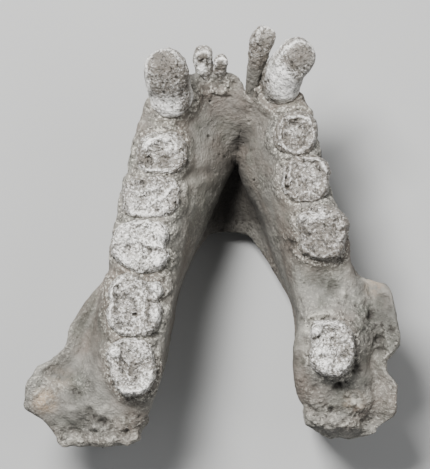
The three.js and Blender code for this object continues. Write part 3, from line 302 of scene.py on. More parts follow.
# Cheek teeth: centre, length along the row and breadth across it, turn from +Y, height of the crown
# over the crest of the bone, softness of its edge from 0 to 1, and lobes of its outline as (angle,
# amount, reach), where angle 0 is the front end, 90 the cheek side and -90 the tongue side. The worn
# relief of the chewing surface is in mounds and lines, in millimetres from the centre. Bright is how
# brightly the whole tooth is painted, from 0 to 1, which is mostly painted light: the teeth of the left
# row, on the side of the key light, are mostly painted brighter. Glow adds brighter places as (x, y,
# reach, amount) to that.
CHEEK_TEETH = {
    "left_p3": {
        "centre": (-16.6, 26.6), "size": (14.9, 16.4), "turn": -8, "height": 4.8, "soft": 1, "bright": 0.15,
        "glow": [(-4, 4, 4.5, 0.6), (2.5, 4, 4.5, 0.55), (0, 1, 3, 0.2), (-5, -5, 3.5, 0.25)],
        "lobes": [(-60, 0.06, 40), (60, -0.05, 40), (170, -0.04, 30)],
        "mounds": [
            (-4.7, -2.1, 2.5, -1.4), (-4.7, -2.1, 0.9, 0.8), (1.3, -2.6, 3.1, -1.2), (-1.8, -2.6, 1.5, 0.8),
            (4.1, 2.4, 3.4, 1), (6, -0.4, 2, 0.5), (-0.6, 1.6, 1.8, -0.6),
        ],
        "lines": [
            (1.4, 1.5, [(-5.4, 1.7), (-3.4, 3.9), (-0.9, 5.1), (1.6, 4.9)]),
            (1.3, 0.9, [(-7.4, -3.6), (-5.9, -5.6), (-1.4, -5.1), (3, -6)]),
        ],
    },
    "left_p4": {
        "centre": (-20, 12.6), "size": (15, 18.8), "turn": -6, "height": 5.2, "soft": 0.8, "bright": 0.3,
        "glow": [(-1, -1, 7, 0.5), (4.5, -4, 3.5, 0.3), (-5, -4, 3.5, 0.2)],
        "lobes": [(-70, 0.04, 40), (0, -0.03, 30), (120, 0.03, 40)],
        "mounds": [
            (1.7, 3.2, 3, 1.1), (-6, -2.1, 3.2, 0.9), (5, -3.8, 2.4, 0.8), (8.2, -2, 0.9, -1.6),
            (7, 2.2, 2.6, -0.8), (-2, 4.6, 2.8, -0.8), (-1.6, -1.2, 2.2, -0.8), (-6.8, 3, 2.4, 0.5),
        ],
        "lines": [
            (1.1, 1, [(-0.5, -2.6), (5, 0.4), (8, 4.9)]), (1.2, 0.7, [(-6, -5.1), (-1, -5.8), (4, -5.8)]),
        ],
    },
    "left_m1": {
        "centre": (-23.3, -3.6), "size": (17.8, 19.2), "turn": -8, "height": 6.6, "soft": 0.35,
        "bright": 0.75,
        "glow": [(2, 3, 8, 0.4), (6, -5, 4.5, 0.3), (-4, -4, 3.5, 0.2)],
        "lobes": [(-58, 0.09, 28), (-97, -0.16, 20), (-128, -0.02, 22), (134, -0.17, 44), (62, -0.06, 30)],
        "mounds": [
            (7, 3.9, 3.6, 1.7), (6.2, -5.2, 3, 1.6), (-4.9, 3.8, 4.2, 1), (-4.1, -4, 3.8, 0.9),
            (-3.9, -1, 1.8, -0.9), (0.6, 4.8, 2.6, -0.5), (1.4, -5.4, 2.4, 0.7),
        ],
        "lines": [
            (1.3, -1.3, [(10.4, -1.4), (6.6, -1.3), (3.2, -0.9)]),
            (0.9, -0.9, [(3.2, -0.9), (-0.4, 1), (-3.4, 0.2)]),
            (0.9, -0.7, [(2.6, -1.4), (1, -4), (-0.4, -7)]), (0.9, -0.5, [(-5.6, 0), (-9.4, -0.6)]),
            (0.7, -1.4, [(-9.2, -3.6), (-6.4, -6.4), (-3.7, -8), (0, -9.6), (2.8, -11)]),
            (0.9, 0.8, [(-8.2, 5.4), (-5, 7.6), (0, 8.2)]),
        ],
    },
    "left_m2": {
        "centre": (-25, -22.6), "size": (21, 18.4), "turn": -3, "height": 6.4, "soft": 0.35, "bright": 0.45,
        "glow": [(6.5, 5, 4.5, 0.5), (6.5, -3, 4, 0.45), (1, 2.5, 4.5, 0.2), (-3, -8, 3.5, 0.2)],
        "lobes": [
            (-62, 0.1, 24), (-83, -0.17, 15), (-125, -0.06, 40), (80, -0.13, 15), (112, 0.05, 24),
            (12, 0.05, 24), (-31, -0.16, 22),
        ],
        "mounds": [
            (-3.8, 5.8, 3.4, 1), (7, 5.6, 3, 1.6), (6.6, -3.4, 2.8, 1.2), (-4.6, -3.6, 3, 0.8),
            (1.6, -5.6, 3, 0.5), (-0.4, -2.6, 1, -1.5), (1.6, -9, 2, 0.5),
        ],
        "lines": [
            (0.9, -1.5, [(0, 10), (3.8, 7.6), (4.8, 3.6), (4.6, -1.4), (4, -6.4)]),
            (0.7, -1.1, [(-3, 3.1), (-0.3, 1.6), (0.5, -0.9), (0.3, -2.4)]),
            (1, 1, [(-4, 9.2), (-7.6, 5.6), (-7.2, 1.6), (-8.2, -1.6), (-8.2, -5.4), (-6.8, -9.2)]),
            (1.2, -0.9, [(-5.8, 6.4), (-5.6, 1.4), (-6, -3.4), (-4.6, -7.4)]),
            (0.9, -1.3, [(9.2, 1.4), (4.9, 1.3)]), (0.8, -0.7, [(0.5, -3), (-2.6, -6.4), (-5.6, -7.4)]),
            (0.6, 0.6, [(-3.6, 6), (-0.4, 7.4), (2.4, 5.6), (3, 1.4), (2.4, -3), (-0.6, -5.2)]),
        ],
    },
    "left_m3": {
        "centre": (-26.2, -42.4), "size": (19.4, 15.2), "turn": -4, "height": 6.4, "soft": 0.4,
        "bright": 0.35,
        "glow": [(-5.5, 5, 4.5, 0.7), (4, 6, 4.5, 0.4), (4.5, -5, 4.5, 0.5), (-1, -8, 3.5, 0.3)],
        "lobes": [(64, 0.09, 22), (88, -0.1, 15), (128, -0.1, 36), (-104, 0.06, 30), (-60, 0.02, 24)],
        "mounds": [
            (-5.4, 4.4, 2.6, 1.6), (3.9, 5.2, 3.3, 1.3), (-4.6, -3.8, 2.6, 0.8), (0, -0.8, 4.2, -1.1),
            (5.4, -2.6, 2.2, 0.8), (-2.4, -8, 1.4, 0.5), (1, -8.4, 1.4, 0.6), (4.2, -6.8, 1.4, 0.6),
        ],
        "lines": [
            (1.3, 0.9, [(-5.4, -6.2), (-1.8, -8.4), (3, -7.8), (6.2, -4.6), (6.9, -1.1)]),
            (1.1, 0.7, [(-5, 8), (-1, 8.8), (3.6, 8.2)]), (0.8, 0.7, [(-1, 1.4), (-0.8, -3.8)]),
            (0.8, -1, [(-2.6, 8.4), (-3, 3.4), (-3.6, -0.6)]),
            (0.7, -0.7, [(1.6, 0.6), (4.8, 1), (7.6, 1.6)]), (0.7, -0.6, [(0.4, -2), (1.4, -6.4)]),
        ],
    },
    "right_p3": {
        "centre": (27.4, 33.2), "size": (15, 13.8), "turn": 8, "height": 5.6, "soft": 0.6, "bright": 0.05,
        "glow": [(0, 1, 4, 0.3), (3, 4, 3, 0.2)],
        "lobes": [(-110, 0.06, 40), (110, -0.04, 30), (0, 0.02, 30)],
        "mounds": [
            (-0.9, 0.8, 2.6, 0.9), (1.4, 2.3, 0.8, -0.8), (-1.6, 3.4, 1.5, -0.5), (2, -2.2, 2, -0.5),
            (3.8, -2, 1.2, 0.6),
        ],
        "lines": [
            (0.8, 0.9, [(-3.2, 5), (0.2, 6), (3.6, 5), (5.4, 2), (5.6, -1.5)]),
            (0.8, 0.45, [(5.6, -1.5), (3.6, -5), (0, -6.2), (-3.6, -5.2), (-5.4, -2), (-5, 2)]),
            (0.9, -0.7, [
                (-3, 2.6), (-0.6, 3.9), (2.4, 3), (3.6, 0.4), (2.8, -3.2), (0, -4.4), (-3.2, -3.2),
                (-3.8, 0),
            ]),
        ],
    },
    "right_p4": {
        "centre": (30.3, 18.4), "size": (16.4, 15.8), "turn": 12, "height": 5.8, "soft": 0.5,
        "bright": 0.05,
        "glow": [(3, -1, 5, 0.3), (1, 3, 4, 0.2)],
        "lobes": [(40, 0.04, 34), (104, 0.06, 18), (150, -0.05, 30), (-140, -0.05, 36)],
        "mounds": [
            (-6, -2.4, 0.9, -2), (7, -1.8, 1.6, 0.9), (2.9, 1.6, 3.8, 0.8), (-2.6, 1.8, 3, 0.5),
            (0.4, -1, 1.6, -0.7), (-1.4, -4.4, 2.4, 0.4),
        ],
        "lines": [
            (0.9, 1.2, [(-6.2, -4.4), (-7.4, -1.6), (-7.6, 1.2), (-6.6, 4.6)]),
            (0.6, -1.2, [(-5.6, -3.8), (-6.4, -1.4), (-6.5, 1.6), (-5.6, 4.6)]),
            (0.7, 0.7, [(-5.2, -1.4), (-5.2, 1.8), (-4.6, 4.4)]),
            (1, 1.2, [(-1, 6.9), (3.2, 7), (5.5, 5.2), (6.7, 2.4)]),
            (0.8, -0.7, [(-0.4, 5.2), (2.8, 5.4), (4.6, 3.6), (5.2, 1)]),
            (0.8, 0.5, [(-0.2, -4), (1.8, -3.8), (3.4, -5)]),
        ],
    },
    "right_m1": {
        "centre": (35.6, 1.2), "size": (18, 17.2), "turn": 14, "height": 6.2, "soft": 0.45, "bright": 0,
        "glow": [(-1, 5.5, 5, 0.65), (-6, 4, 4, 0.4), (5, 2, 3.5, 0.2)],
        "lobes": [(-64, 0.08, 28), (-112, -0.18, 42), (96, -0.05, 16), (58, 0.03, 26), (120, 0.06, 24)],
        "mounds": [
            (6.2, 1.8, 2.2, 1.1), (6.8, -2.4, 2.4, 1.3), (5.3, 5.6, 2.2, 0.7), (-1.3, -5, 4.2, -0.7),
            (-6.4, 5.4, 2.4, 0.7), (0.8, 5, 2.4, 0.7), (2.2, 0.2, 2.6, -0.7),
        ],
        "lines": [
            (1.6, 0.45, [(-6.8, 5.8), (-4.3, 4.5), (-0.8, 4.5), (2.7, 5.3)]),
            (0.8, -1.5, [(-9.2, 3), (-6.8, 1.5), (-4.2, -0.9)]),
            (0.9, 0.7, [(-4.4, -6.2), (-2.3, -7.6), (-0.8, -8), (1.7, -7.2), (5, -5.8)]),
            (0.8, -0.8, [(4, 3.6), (4.4, 0.4), (4.2, -3)]), (0.8, -0.7, [(-3.6, 2), (0, 2.4), (3.6, 2.2)]),
        ],
    },
    "right_m3": {
        "centre": (38.9, -36.3), "size": (18.6, 14.6), "turn": 4, "height": 7.2, "soft": 0.35,
        "bright": 0.4,
        "glow": [(-3, -1.5, 6.5, 0.7), (-1.5, -6, 4.5, 0.5), (3.5, -6, 3, 0.4), (-5, 6, 3.5, 0.5)],
        "lobes": [(-52, 0.14, 28), (-90, -0.08, 22), (40, -0.03, 26), (100, 0.05, 30), (150, 0.03, 30)],
        "mounds": [
            (-5.6, 5.4, 2.6, 1.5), (-2.9, -1.1, 3.4, 1.3), (-2.4, -5.9, 2.5, 1.3), (3.1, -5.6, 2.7, 1.3),
            (3.4, 3.4, 3, 1), (0.4, 2.4, 1.8, -0.9), (4.4, -1.4, 1.6, -0.5),
        ],
        "lines": [
            (0.8, -1.1, [(-7.4, 3.7), (-5.9, 2.4), (-4.2, 3.9)]),
            (0.9, -0.9, [(-4.8, -3.6), (-1.6, -3.6), (1.4, -2.4), (5.8, -2.8)]),
            (0.8, -0.8, [(0.4, -4), (0.6, -8)]), (1.1, 0.9, [(-4, 8), (0.4, 8.2), (4, 7)]),
            (0.8, -0.8, [(-2.6, 5.6), (1.6, 5.8)]),
        ],
    },
}
CREST = 60.0  # level of the crest that the crowns stand on
SQUARENESS = 2.6  # 2 is an oval outline, more is squarer
# Profile of a cheek tooth from the root up and in to the middle of the chewing surface: place along
# the profile, share of the outline, height in shares of the crown, how much of the relief shows, and
# how much share and height change where the edge is soft.
CHEEK_PROFILE = [
    (0, 0.36, -1.7, 0, 0, 0), (0.12, 0.82, -0.3, 0, 0.1, 0), (0.24, 0.95, 0.2, 0, 0.06, 0),
    (0.36, 1, 0.5, 0.08, -0.02, 0.1), (0.45, 0.975, 0.76, 0.35, -0.07, 0.04),
    (0.54, 0.92, 0.95, 0.75, -0.07, -0.02), (0.62, 0.83, 1, 1, -0.06, -0.02),
    (0.72, 0.64, 0.96, 1, -0.03, 0), (0.85, 0.36, 0.9, 1, 0, 0.02), (1, 0, 0.88, 1, 0, 0.03),
]
CHEEK_RINGS = 130
CHEEK_SIDES = 176
LOBED_SHARES = (0.1, 0.9)  # shares of the outline, for its lobes
WRINKLED_HEIGHTS = (-0.1, 0.4)  # in shares of the crown
ENAMEL_HEIGHTS = (0.1, 0.75)  # in shares of the crown, below which a tooth looks like bone

# Front teeth: the line from the root through the bend to the tip, half widths across it at those
# three places, depth as a share of width, how far the tip is turned up, how far along it the root
# ends, how brightly it is painted (painted light), the profile of its tip, the middle and radius of the
# collar of bone round it in plan, and swellings as (place, angle, reach along, reach round, share of the
# half width), where angle 0 faces up and back and 90 faces the animal's left. In plan, rims are its
# pale edges, partly painted highlight, and facets (x, y, reach) and pale (x, y, reach) its worn places and
# its places painted bright, which are painted light, such as the lit base of the right canine.
FRONT_TEETH = {
    "left_canine": {
        "half": (6.8, 7, 7.2), "depth": 0.86, "up": 0.15, "root": 0.05, "bright": 0.15, "tip": "dome",
        "collar": (-13.4, 45.4, 7.4),
        "line": [(-13.4, 42.6, 44), (-13.2, 44.4, 66), (-15.8, 58.8, 75.8)],
        "swell": [
            (0.86, 4, 0.3, 58, -0.22), (0.8, 76, 0.36, 30, 0.04), (0.8, -70, 0.36, 30, 0.04),
            (0.42, 0, 0.16, 75, 0.34), (0.62, 0, 0.14, 100, -0.05), (0.42, -70, 0.14, 34, 0.1),
        ],
        "rims": [
            [
                (-20.4, 46.5), (-21, 51), (-21.3, 55.5), (-19.6, 58.8), (-16, 60.4), (-12.4, 59.2),
                (-9.6, 55.6),
            ],
            [(-20.4, 42.2), (-17.6, 39.4), (-13.2, 38.6), (-9.4, 40)], [(-6.8, 50.5), (-6.5, 46), (-7, 43)],
        ],
        "facets": [(-15.2, 54.2, 6), (-17, 57, 3)], "pale": [(-13.5, 41.8, 5.5), (-19, 43.5, 3.5)],
    },
    "left_incisor_2": {
        "half": (2.5, 3, 3.1), "depth": 0.9, "up": 0.2, "root": 0.05, "bright": 0.15, "tip": "peg",
        "collar": (-2.3, 50.2, 3.6),
        "line": [(-1.6, 46, 46), (-2.6, 53.4, 57), (-3, 60.7, 63.5)],
        "swell": [(0.62, 0, 0.12, 70, 0.1), (0.85, 10, 0.14, 50, -0.05), (0.8, 90, 0.3, 30, 0.06)],
        "rims": [[(-5.3, 56), (-5.2, 58.8), (-3.2, 60.4), (-0.9, 59.4), (-0.6, 56.4)]],
        "facets": [(-3.2, 58.4, 2)], "pale": [(-3.2, 54.6, 2.6)],
    },
    "left_incisor_1": {
        "half": (1.9, 2.2, 2.3), "depth": 0.9, "up": 0.2, "root": 0.05, "bright": 0.15, "tip": "peg",
        "collar": (2.2, 50.2, 2.9),
        "line": [(1.8, 46.2, 46), (2.3, 52.8, 56), (3, 58.1, 62)],
        "swell": [(0.85, 0, 0.16, 50, -0.12), (0.66, 60, 0.14, 50, 0.12)],
        "rims": [[(1.1, 55.6), (1.6, 57.4), (3.4, 58), (4.6, 56.4)]],
        "facets": [(3, 54.8, 2.4)], "pale": [],
    },
    "right_canine": {
        "half": (5.6, 6.4, 6.5), "depth": 0.86, "up": 0.1, "root": 0.05, "bright": 0.3, "tip": "dome",
        "collar": (22.6, 47.4, 6.6),
        "line": [(22, 42, 44), (20.8, 50.2, 67), (30.2, 61.8, 75.8)],
        "swell": [
            (0.88, -24, 0.3, 60, -0.14), (0.8, 62, 0.5, 22, 0.07), (0.84, 96, 0.4, 14, -0.05),
            (0.42, 0, 0.12, 80, 0.08), (0.6, -84, 0.26, 44, -0.16), (0.88, -84, 0.16, 20, 0.05),
            (0.5, 92, 0.34, 36, 0.16),
        ],
        "rims": [
            [(17.6, 51), (18.8, 56), (21.6, 60.8), (25, 64.2), (29, 65), (33.2, 62.4)],
            [(20, 53), (21.4, 57.2), (24.2, 60.8), (27.8, 62.6), (31.4, 61.8), (32.6, 59.4)],
        ],
        "facets": [(29.6, 58.2, 5.6), (26.6, 57, 4.4), (15.4, 48, 3.2), (16.6, 52.4, 2.6)],
        "pale": [(22.6, 49.5, 6), (24.6, 46.5, 5.5), (21, 53, 4)],
    },
    "right_incisor_2": {
        "half": (1.9, 2.5, 4), "depth": 0.8, "up": 0.3, "root": 0.55, "bright": 0, "tip": "peg",
        "collar": (12.8, 47, 2.2),
        "line": [(13.4, 42, 44), (12.2, 51, 63), (17.4, 66.4, 71)],
        "swell": [(0.88, 0, 0.2, 56, -0.14), (0.5, 0, 0.3, 50, -0.08), (0.82, 86, 0.2, 24, 0.06)],
        "rims": [[(14.9, 65.4), (16.4, 67.5), (18.6, 67.6), (20, 66)]],
        "facets": [(13.4, 50, 5), (14.6, 55, 4), (17, 62.5, 2.6)], "pale": [],
    },
}
# Profiles of a front tooth from the root to the middle of the tip: place along the profile, place
# along its line, and share of its half width.
FRONT_PROFILES = {
    "dome": [
        (0, 0, 0.72), (0.14, 0.2, 0.95), (0.28, 0.4, 1), (0.42, 0.6, 1), (0.54, 0.74, 1),
        (0.64, 0.84, 0.95), (0.74, 0.915, 0.82), (0.84, 0.965, 0.62), (0.93, 0.99, 0.34), (1, 1, 0),
    ],
    "peg": [
        (0, 0, 0.7), (0.15, 0.2, 0.95), (0.3, 0.4, 1), (0.45, 0.6, 1), (0.6, 0.8, 1), (0.7, 0.92, 0.97),
        (0.78, 0.975, 0.84), (0.86, 0.995, 0.62), (0.93, 0.99, 0.34), (1, 0.98, 0),
    ],
}
ROOT_FADE = 0.15  # share of the line over which the look of bone at a root fades
RIM_REACH = 0.9  # half the width of a pale rim
FRONT_TOOTH_RINGS = 140
FRONT_TOOTH_SIDES = 104
LEAST_RINGS = 24  # the fewest rings or sides that a tooth has

# The materials' noises, as (size in millimetres, detail, roughness, shift).
BONE_NOISES = (
    (22, 4, 0.55, 0), (9, 5, 0.6, 3.1), (3.2, 4, 0.6, 7.7), (1.3, 3, 0.65, 1.3), (0.95, 2, 0.7, 4.4),
)
ENAMEL_NOISES = ((6, 4, 0.6, 5.3), (2.2, 4, 0.65, 2.9), (1.15, 3, 0.75, 8.1), (0.85, 3, 0.75, 6.6))
FLOOR_NOISE = (120, 2, 0.5, 0)
FLOOR_ROUGHNESS = 0.9

# The stage, in metres.
FLOOR_HALF = 1.5
KEY_LIGHT = {"place": (-0.22, 0.36, 0.83), "size": 0.25}
FILL_LIGHT = {"place": (0.5, 0.05, 0.6), "size": 0.5}
LIGHTS_AIM = Vector((0.0, 0.0, 0.03))
SKY = (0.9, 0.93, 1.0)
SKY_STRENGTH = 0.2
SENSOR_WIDTH = 36.0

# Multipliers that scramble the cell numbers of the noise.
SCRAMBLE = (374761393, 668265263, 2246822519, 3266489917, 1274126177)
WAVE_GAIN = 1.6  # brings the waves up to about -1 to 1
NEARLY_NOTHING = 1e-9  # stands in for a length of zero, where a length divides
MERGE_DISTANCE = 1e-7  # in metres


def through(rows, places):
    """Smooth values through rows of (place, ...values), one row of values for each place.

    Between two rows the value is the cubic that meets both values and both slopes, and each
    slope is the rise between the rows before and after divided by the distance between them.
    """
    rows = np.asarray(rows, float)
    at, values = rows[:, 0], rows[:, 1:]
    slopes = np.empty_like(values)
    slopes[1:-1] = (values[2:] - values[:-2]) / (at[2:] - at[:-2])[:, None]
    slopes[0] = (values[1] - values[0]) / (at[1] - at[0])
    slopes[-1] = (values[-1] - values[-2]) / (at[-1] - at[-2])
    i = np.clip(np.searchsorted(at, places, side="right") - 1, 0, len(at) - 2)
    step = (at[i + 1] - at[i])[:, None]
    s = (places - at[i])[:, None] / step
    return (
        values[i] * (2 * s**3 - 3 * s**2 + 1)
        + values[i + 1] * (3 * s**2 - 2 * s**3)
        + slopes[i] * step * (s**3 - 2 * s**2 + s)
        + slopes[i + 1] * step * (s**3 - s**2)
    )


def held(value):
    """The value, held between 0 and 1."""
    return np.clip(value, 0.0, 1.0)


def bell(distance, reach):
    """1 at the middle and 0 from the reach outwards: the square of one minus the squared share."""
    share = np.minimum(1.0, np.abs(distance) / reach)
    return (1 - share * share) ** 2


def ramp(value, low, high):
    """0 below low, 1 above high, and in between three squares of the share less two cubes."""
    share = held((value - low) / (high - low))
    return share * share * (3 - 2 * share)


def lattice(cells, seed):
    """A repeatable value from -1 to 1 for each whole-numbered cell: its numbers are multiplied by
    large odd numbers, added, and scrambled by shifts."""
    x, y, z = (cells[..., k].astype(np.int64).astype(np.uint32) for k in range(3))
    mixed = x * np.uint32(SCRAMBLE[0]) + y * np.uint32(SCRAMBLE[1]) + z * np.uint32(SCRAMBLE[2])
    mixed = mixed + np.uint32((seed * SCRAMBLE[3]) % 2**32)
    mixed = (mixed ^ (mixed >> np.uint32(13))) * np.uint32(SCRAMBLE[4])
    mixed = mixed ^ (mixed >> np.uint32(16))
    return mixed / 2.0**31 - 1.0


def waves(points, kind, seed):
    """Smooth noise of about -1 to 1, of a kind given as (size, layers, shift of the seed). Each layer
    blends the eight corner values of the cell that a point is in, and is half as large and half as
    strong as the layer before."""
    size, layers, shift = kind
    total = np.zeros(points.shape[:-1])
    strength, weight = 1.0, 0.0
    for layer in range(layers):
        q = points / size
        cell = np.floor(q)
        f = q - cell
        f = f * f * (3 - 2 * f)
        value = np.zeros(points.shape[:-1])
        for corner in range(8):
            step = np.array([corner & 1, corner >> 1 & 1, corner >> 2 & 1])
            share = np.prod(np.where(step, f, 1 - f), axis=-1)
            value += share * lattice(cell + step, seed + shift + layer)
        total += strength * value
        weight += strength
        strength *= 0.5
        size *= 0.5
    return total / weight * WAVE_GAIN


def near_line(x, y, line):
    """Distance in plan from each point to a bent line: the least of those to its stretches, each
    measured to the nearest place between the stretch's ends."""
    nearest = np.full(x.shape, np.inf)
    for (x0, y0), (x1, y1) in zip(line, line[1:]):
        dx, dy = x1 - x0, y1 - y0
        share = held(((x - x0) * dx + (y - y0) * dy) / (dx * dx + dy * dy))
        nearest = np.minimum(nearest, np.hypot(x - x0 - share * dx, y - y0 - share * dy))
    return nearest


def relief(x, y, mounds, lines):
    """Height of the worn relief at each point in plan: the sum of bells round the mounds and lines.
    A line is made wider and shallower than listed, and a groove has a share of its listed depth."""
    height = np.zeros(x.shape)
    for mx, my, reach, high in mounds:
        height += high * bell(np.hypot(x - mx, y - my), reach)
    for reach, high, line in lines:
        high = high if high > 0 else high * GROOVE_SHARE
        height += high * bell(near_line(x, y, line), reach * LINE_SPREAD) / LINE_SPREAD
    return height


def facing(rings):
    """Outward unit normals of closed rings: the cross product of the steps along and round, turned
    so that most point away from the middle of their ring."""
    along = np.gradient(rings, axis=0)
    round_ring = np.roll(rings, -1, axis=1) - np.roll(rings, 1, axis=1)
    normal = np.cross(along, round_ring)
    normal /= np.maximum(np.linalg.norm(normal, axis=-1, keepdims=True), NEARLY_NOTHING)
    away = rings - rings.mean(axis=1, keepdims=True)
    return normal * np.sign(np.sum(normal * away))


def section_rails(bone, places):
    """The nine rails of one half at each place, as places by rails by x, y, z. Six come from the
    table, and shelf, sole and inner hollow lie between them."""
    rail = {name: through(rows, places) for name, rows in bone.items() if name != "end"}
    landmarks = np.arange(len(SHELF_SAG))
    sag = through(np.column_stack([landmarks, SHELF_SAG]), places)[:, 0]
    cut = through(np.column_stack([landmarks, INNER_HOLLOW]), places)[:, 0]
    shelf = (rail["rim"] + rail["flare"]) / 2
    shelf[:, 2] = rail["rim"][:, 2] + (rail["flare"][:, 2] - rail["rim"][:, 2]) * sag
    sole = (rail["foot"] + rail["keel"]) / 2
    sole[:, 2] = through(np.column_stack([landmarks, SOLE_LEVEL]), places)[:, 0]
    hollow = rail["keel"] + (rail["belly"] - rail["keel"]) * cut[:, None]
    hollow[:, 2] = rail["keel"][:, 2] + (rail["belly"][:, 2] - rail["keel"][:, 2]) * HOLLOW_RISE
    order = ["lip", "rim", shelf, "flare", "foot", sole, "keel", hollow, "belly"]
    return np.stack([rail[r] if isinstance(r, str) else r for r in order], axis=1)


def bone_rings(bone, fine):
    """Rings of one half of the bone, each ring's landmark, and each ring point's rail.

    A ring is the closed curve through its nine rails: between two of them a point is the cubic
    blend of those two and the two beyond. The rings that close the break shrink towards its end
    point, across by the square of their share and lengthwise by its square root.
    """
    front = np.linspace(-MIDLINE_LAP, FIRST_MOLAR, int(FRONT_RINGS * fine), endpoint=False)
    rear = np.linspace(FIRST_MOLAR, BREAK, int(REAR_RINGS * fine))
    places = np.concatenate([front, rear])
    rails = section_rails(bone, places)
    counts = [max(4, int(count * fine)) for count in AROUND]
    rail = np.concatenate([k + np.arange(count) / count for k, count in enumerate(counts)])
    k = np.floor(rail).astype(int)
    f = (rail - k)[None, :, None]
    before, here, after, beyond = (rails[:, (k + step) % len(counts)] for step in (-1, 0, 1, 2))
    rings = here + 0.5 * f * (
        after - before
        + f * (2 * before - 5 * here + 4 * after - beyond + f * (3 * (here - after) + beyond - before))
    )
    end = np.array(bone["end"], float)
    closing_rings = int(BREAK_RINGS * fine)
    share = (np.arange(1, closing_rings + 1) / (closing_rings + 1))[:, None, None]
    last = rings[-1][None]
    closing = last + (end - last) * share**2
    closing[..., 1] = last[..., 1] + (end[1] - last[..., 1]) * np.sqrt(share[..., 0])
    places = np.concatenate([places, BREAK + share[:, 0, 0]])
    return np.concatenate([rings, closing]), places, rail


def local_shares(tooth, x, y):
    """Where points in plan lie on a tooth: along the row and out to the cheek, in shares of its
    half sizes."""
    angle = math.radians(tooth["turn"])
    outward = math.copysign(1.0, tooth["centre"][0])
    dx, dy = x - tooth["centre"][0], y - tooth["centre"][1]
    along = (dx * math.sin(angle) + dy * math.cos(angle)) / (tooth["size"][0] / 2)
    across = (dx * math.cos(angle) - dy * math.sin(angle)) / (tooth["size"][1] / 2) * outward
    return along, across


def outline(lobes, angle):
    """Outline of a tooth at each angle, as a share of its half sizes: a rounded square, swollen or
    nicked at each lobe."""
    cos, sin = np.abs(np.cos(angle)), np.abs(np.sin(angle))
    square = (cos**SQUARENESS + sin**SQUARENESS) ** (-1 / SQUARENESS)
    swell = np.ones(angle.shape)
    for toward, amount, reach in lobes:
        apart = (np.degrees(angle) - toward + 180) % 360 - 180
        swell += amount * bell(apart, reach)
    return square * swell


def spots(x, y, table):
    """Strength of a table's round places at each point in plan, from 0 to 1."""
    total = np.zeros(x.shape)
    for sx, sy, reach, strength in table:
        total += strength * bell(np.hypot(x - sx, y - sy), reach)
    return held(total)


def chipped_parts(places, rail, shape):
    """How much of each ring point is broken bone: the end, and the edge of the branch's stump."""
    end = ramp(places, *CHIPPED_END)[:, None]
    stump = bell(rail - FLARE_RAIL, STUMP_REACH)[None] * ramp(places, *CHIPPED_STUMP)[:, None]
    return np.maximum(np.broadcast_to(end, shape), stump * STUMP_SHARE)


def sockets(side, rings, up, settings):
    """How far the bone rises round its teeth, and how near each ring point is to one, from 0 to 1.

    The rise is a bell of the distance from the tooth's outline or from the ring of its collar.
    The roots of the cheek teeth also swell the outer wall, by a bell along the row.
    """
    x, y, z = (rings[..., k] for k in range(3))
    lift, near = np.zeros(x.shape), np.zeros(x.shape)
    rise, root_rib = settings.socket_rise / MM, settings.root_rib / MM
    for name, tooth in CHEEK_TEETH.items():
        if not name.startswith(side):
            continue
        along, across = local_shares(tooth, x, y)
        edge = np.hypot(along, across) / outline(tooth["lobes"], np.arctan2(across, along))
        beside = bell(edge - 1, SOCKET_REACH) * up
        near = np.maximum(near, beside)
        wall = ramp(z, *ROOT_LEVELS) * (1 - up) * ramp(across, *ROOT_PLACES)
        lift += rise * beside + root_rib * bell(along, ROOT_WIDTH) * wall
    for tooth in FRONT_TEETH.values():
        middle_x, middle_y, radius = tooth["collar"]
        edge = np.hypot(x - middle_x, y - middle_y) / radius
        beside = bell(edge - 1, COLLAR_REACH) * np.maximum(up, COLLAR_WALL)
        near = np.maximum(near, beside * COLLAR_SPECKS)
        lift += rise * beside * radius / WIDEST_COLLAR
    return lift, near


def pores(rings, seed, settings):
    """Depth of the pores, under zero: a stretched bell round each of a number of random ring points."""
    depths = np.zeros(rings.shape[:2])
    chance = np.random.default_rng(seed)
    flat = rings.reshape(-1, 3)
    for index in chance.integers(0, len(flat), settings.pore_count):
        radius = settings.pore_radius / MM / chance.uniform(*PORE_SIZES)
        depth = radius * chance.uniform(*PORE_DEPTHS)
        stretch = chance.uniform(*PORE_STRETCH, 3)
        apart = np.linalg.norm((rings - flat[index]) * stretch, axis=-1)
        depths -= depth * bell(apart, radius * PORE_SPREAD)
    return np.maximum(depths, -DEEPEST_PORE)


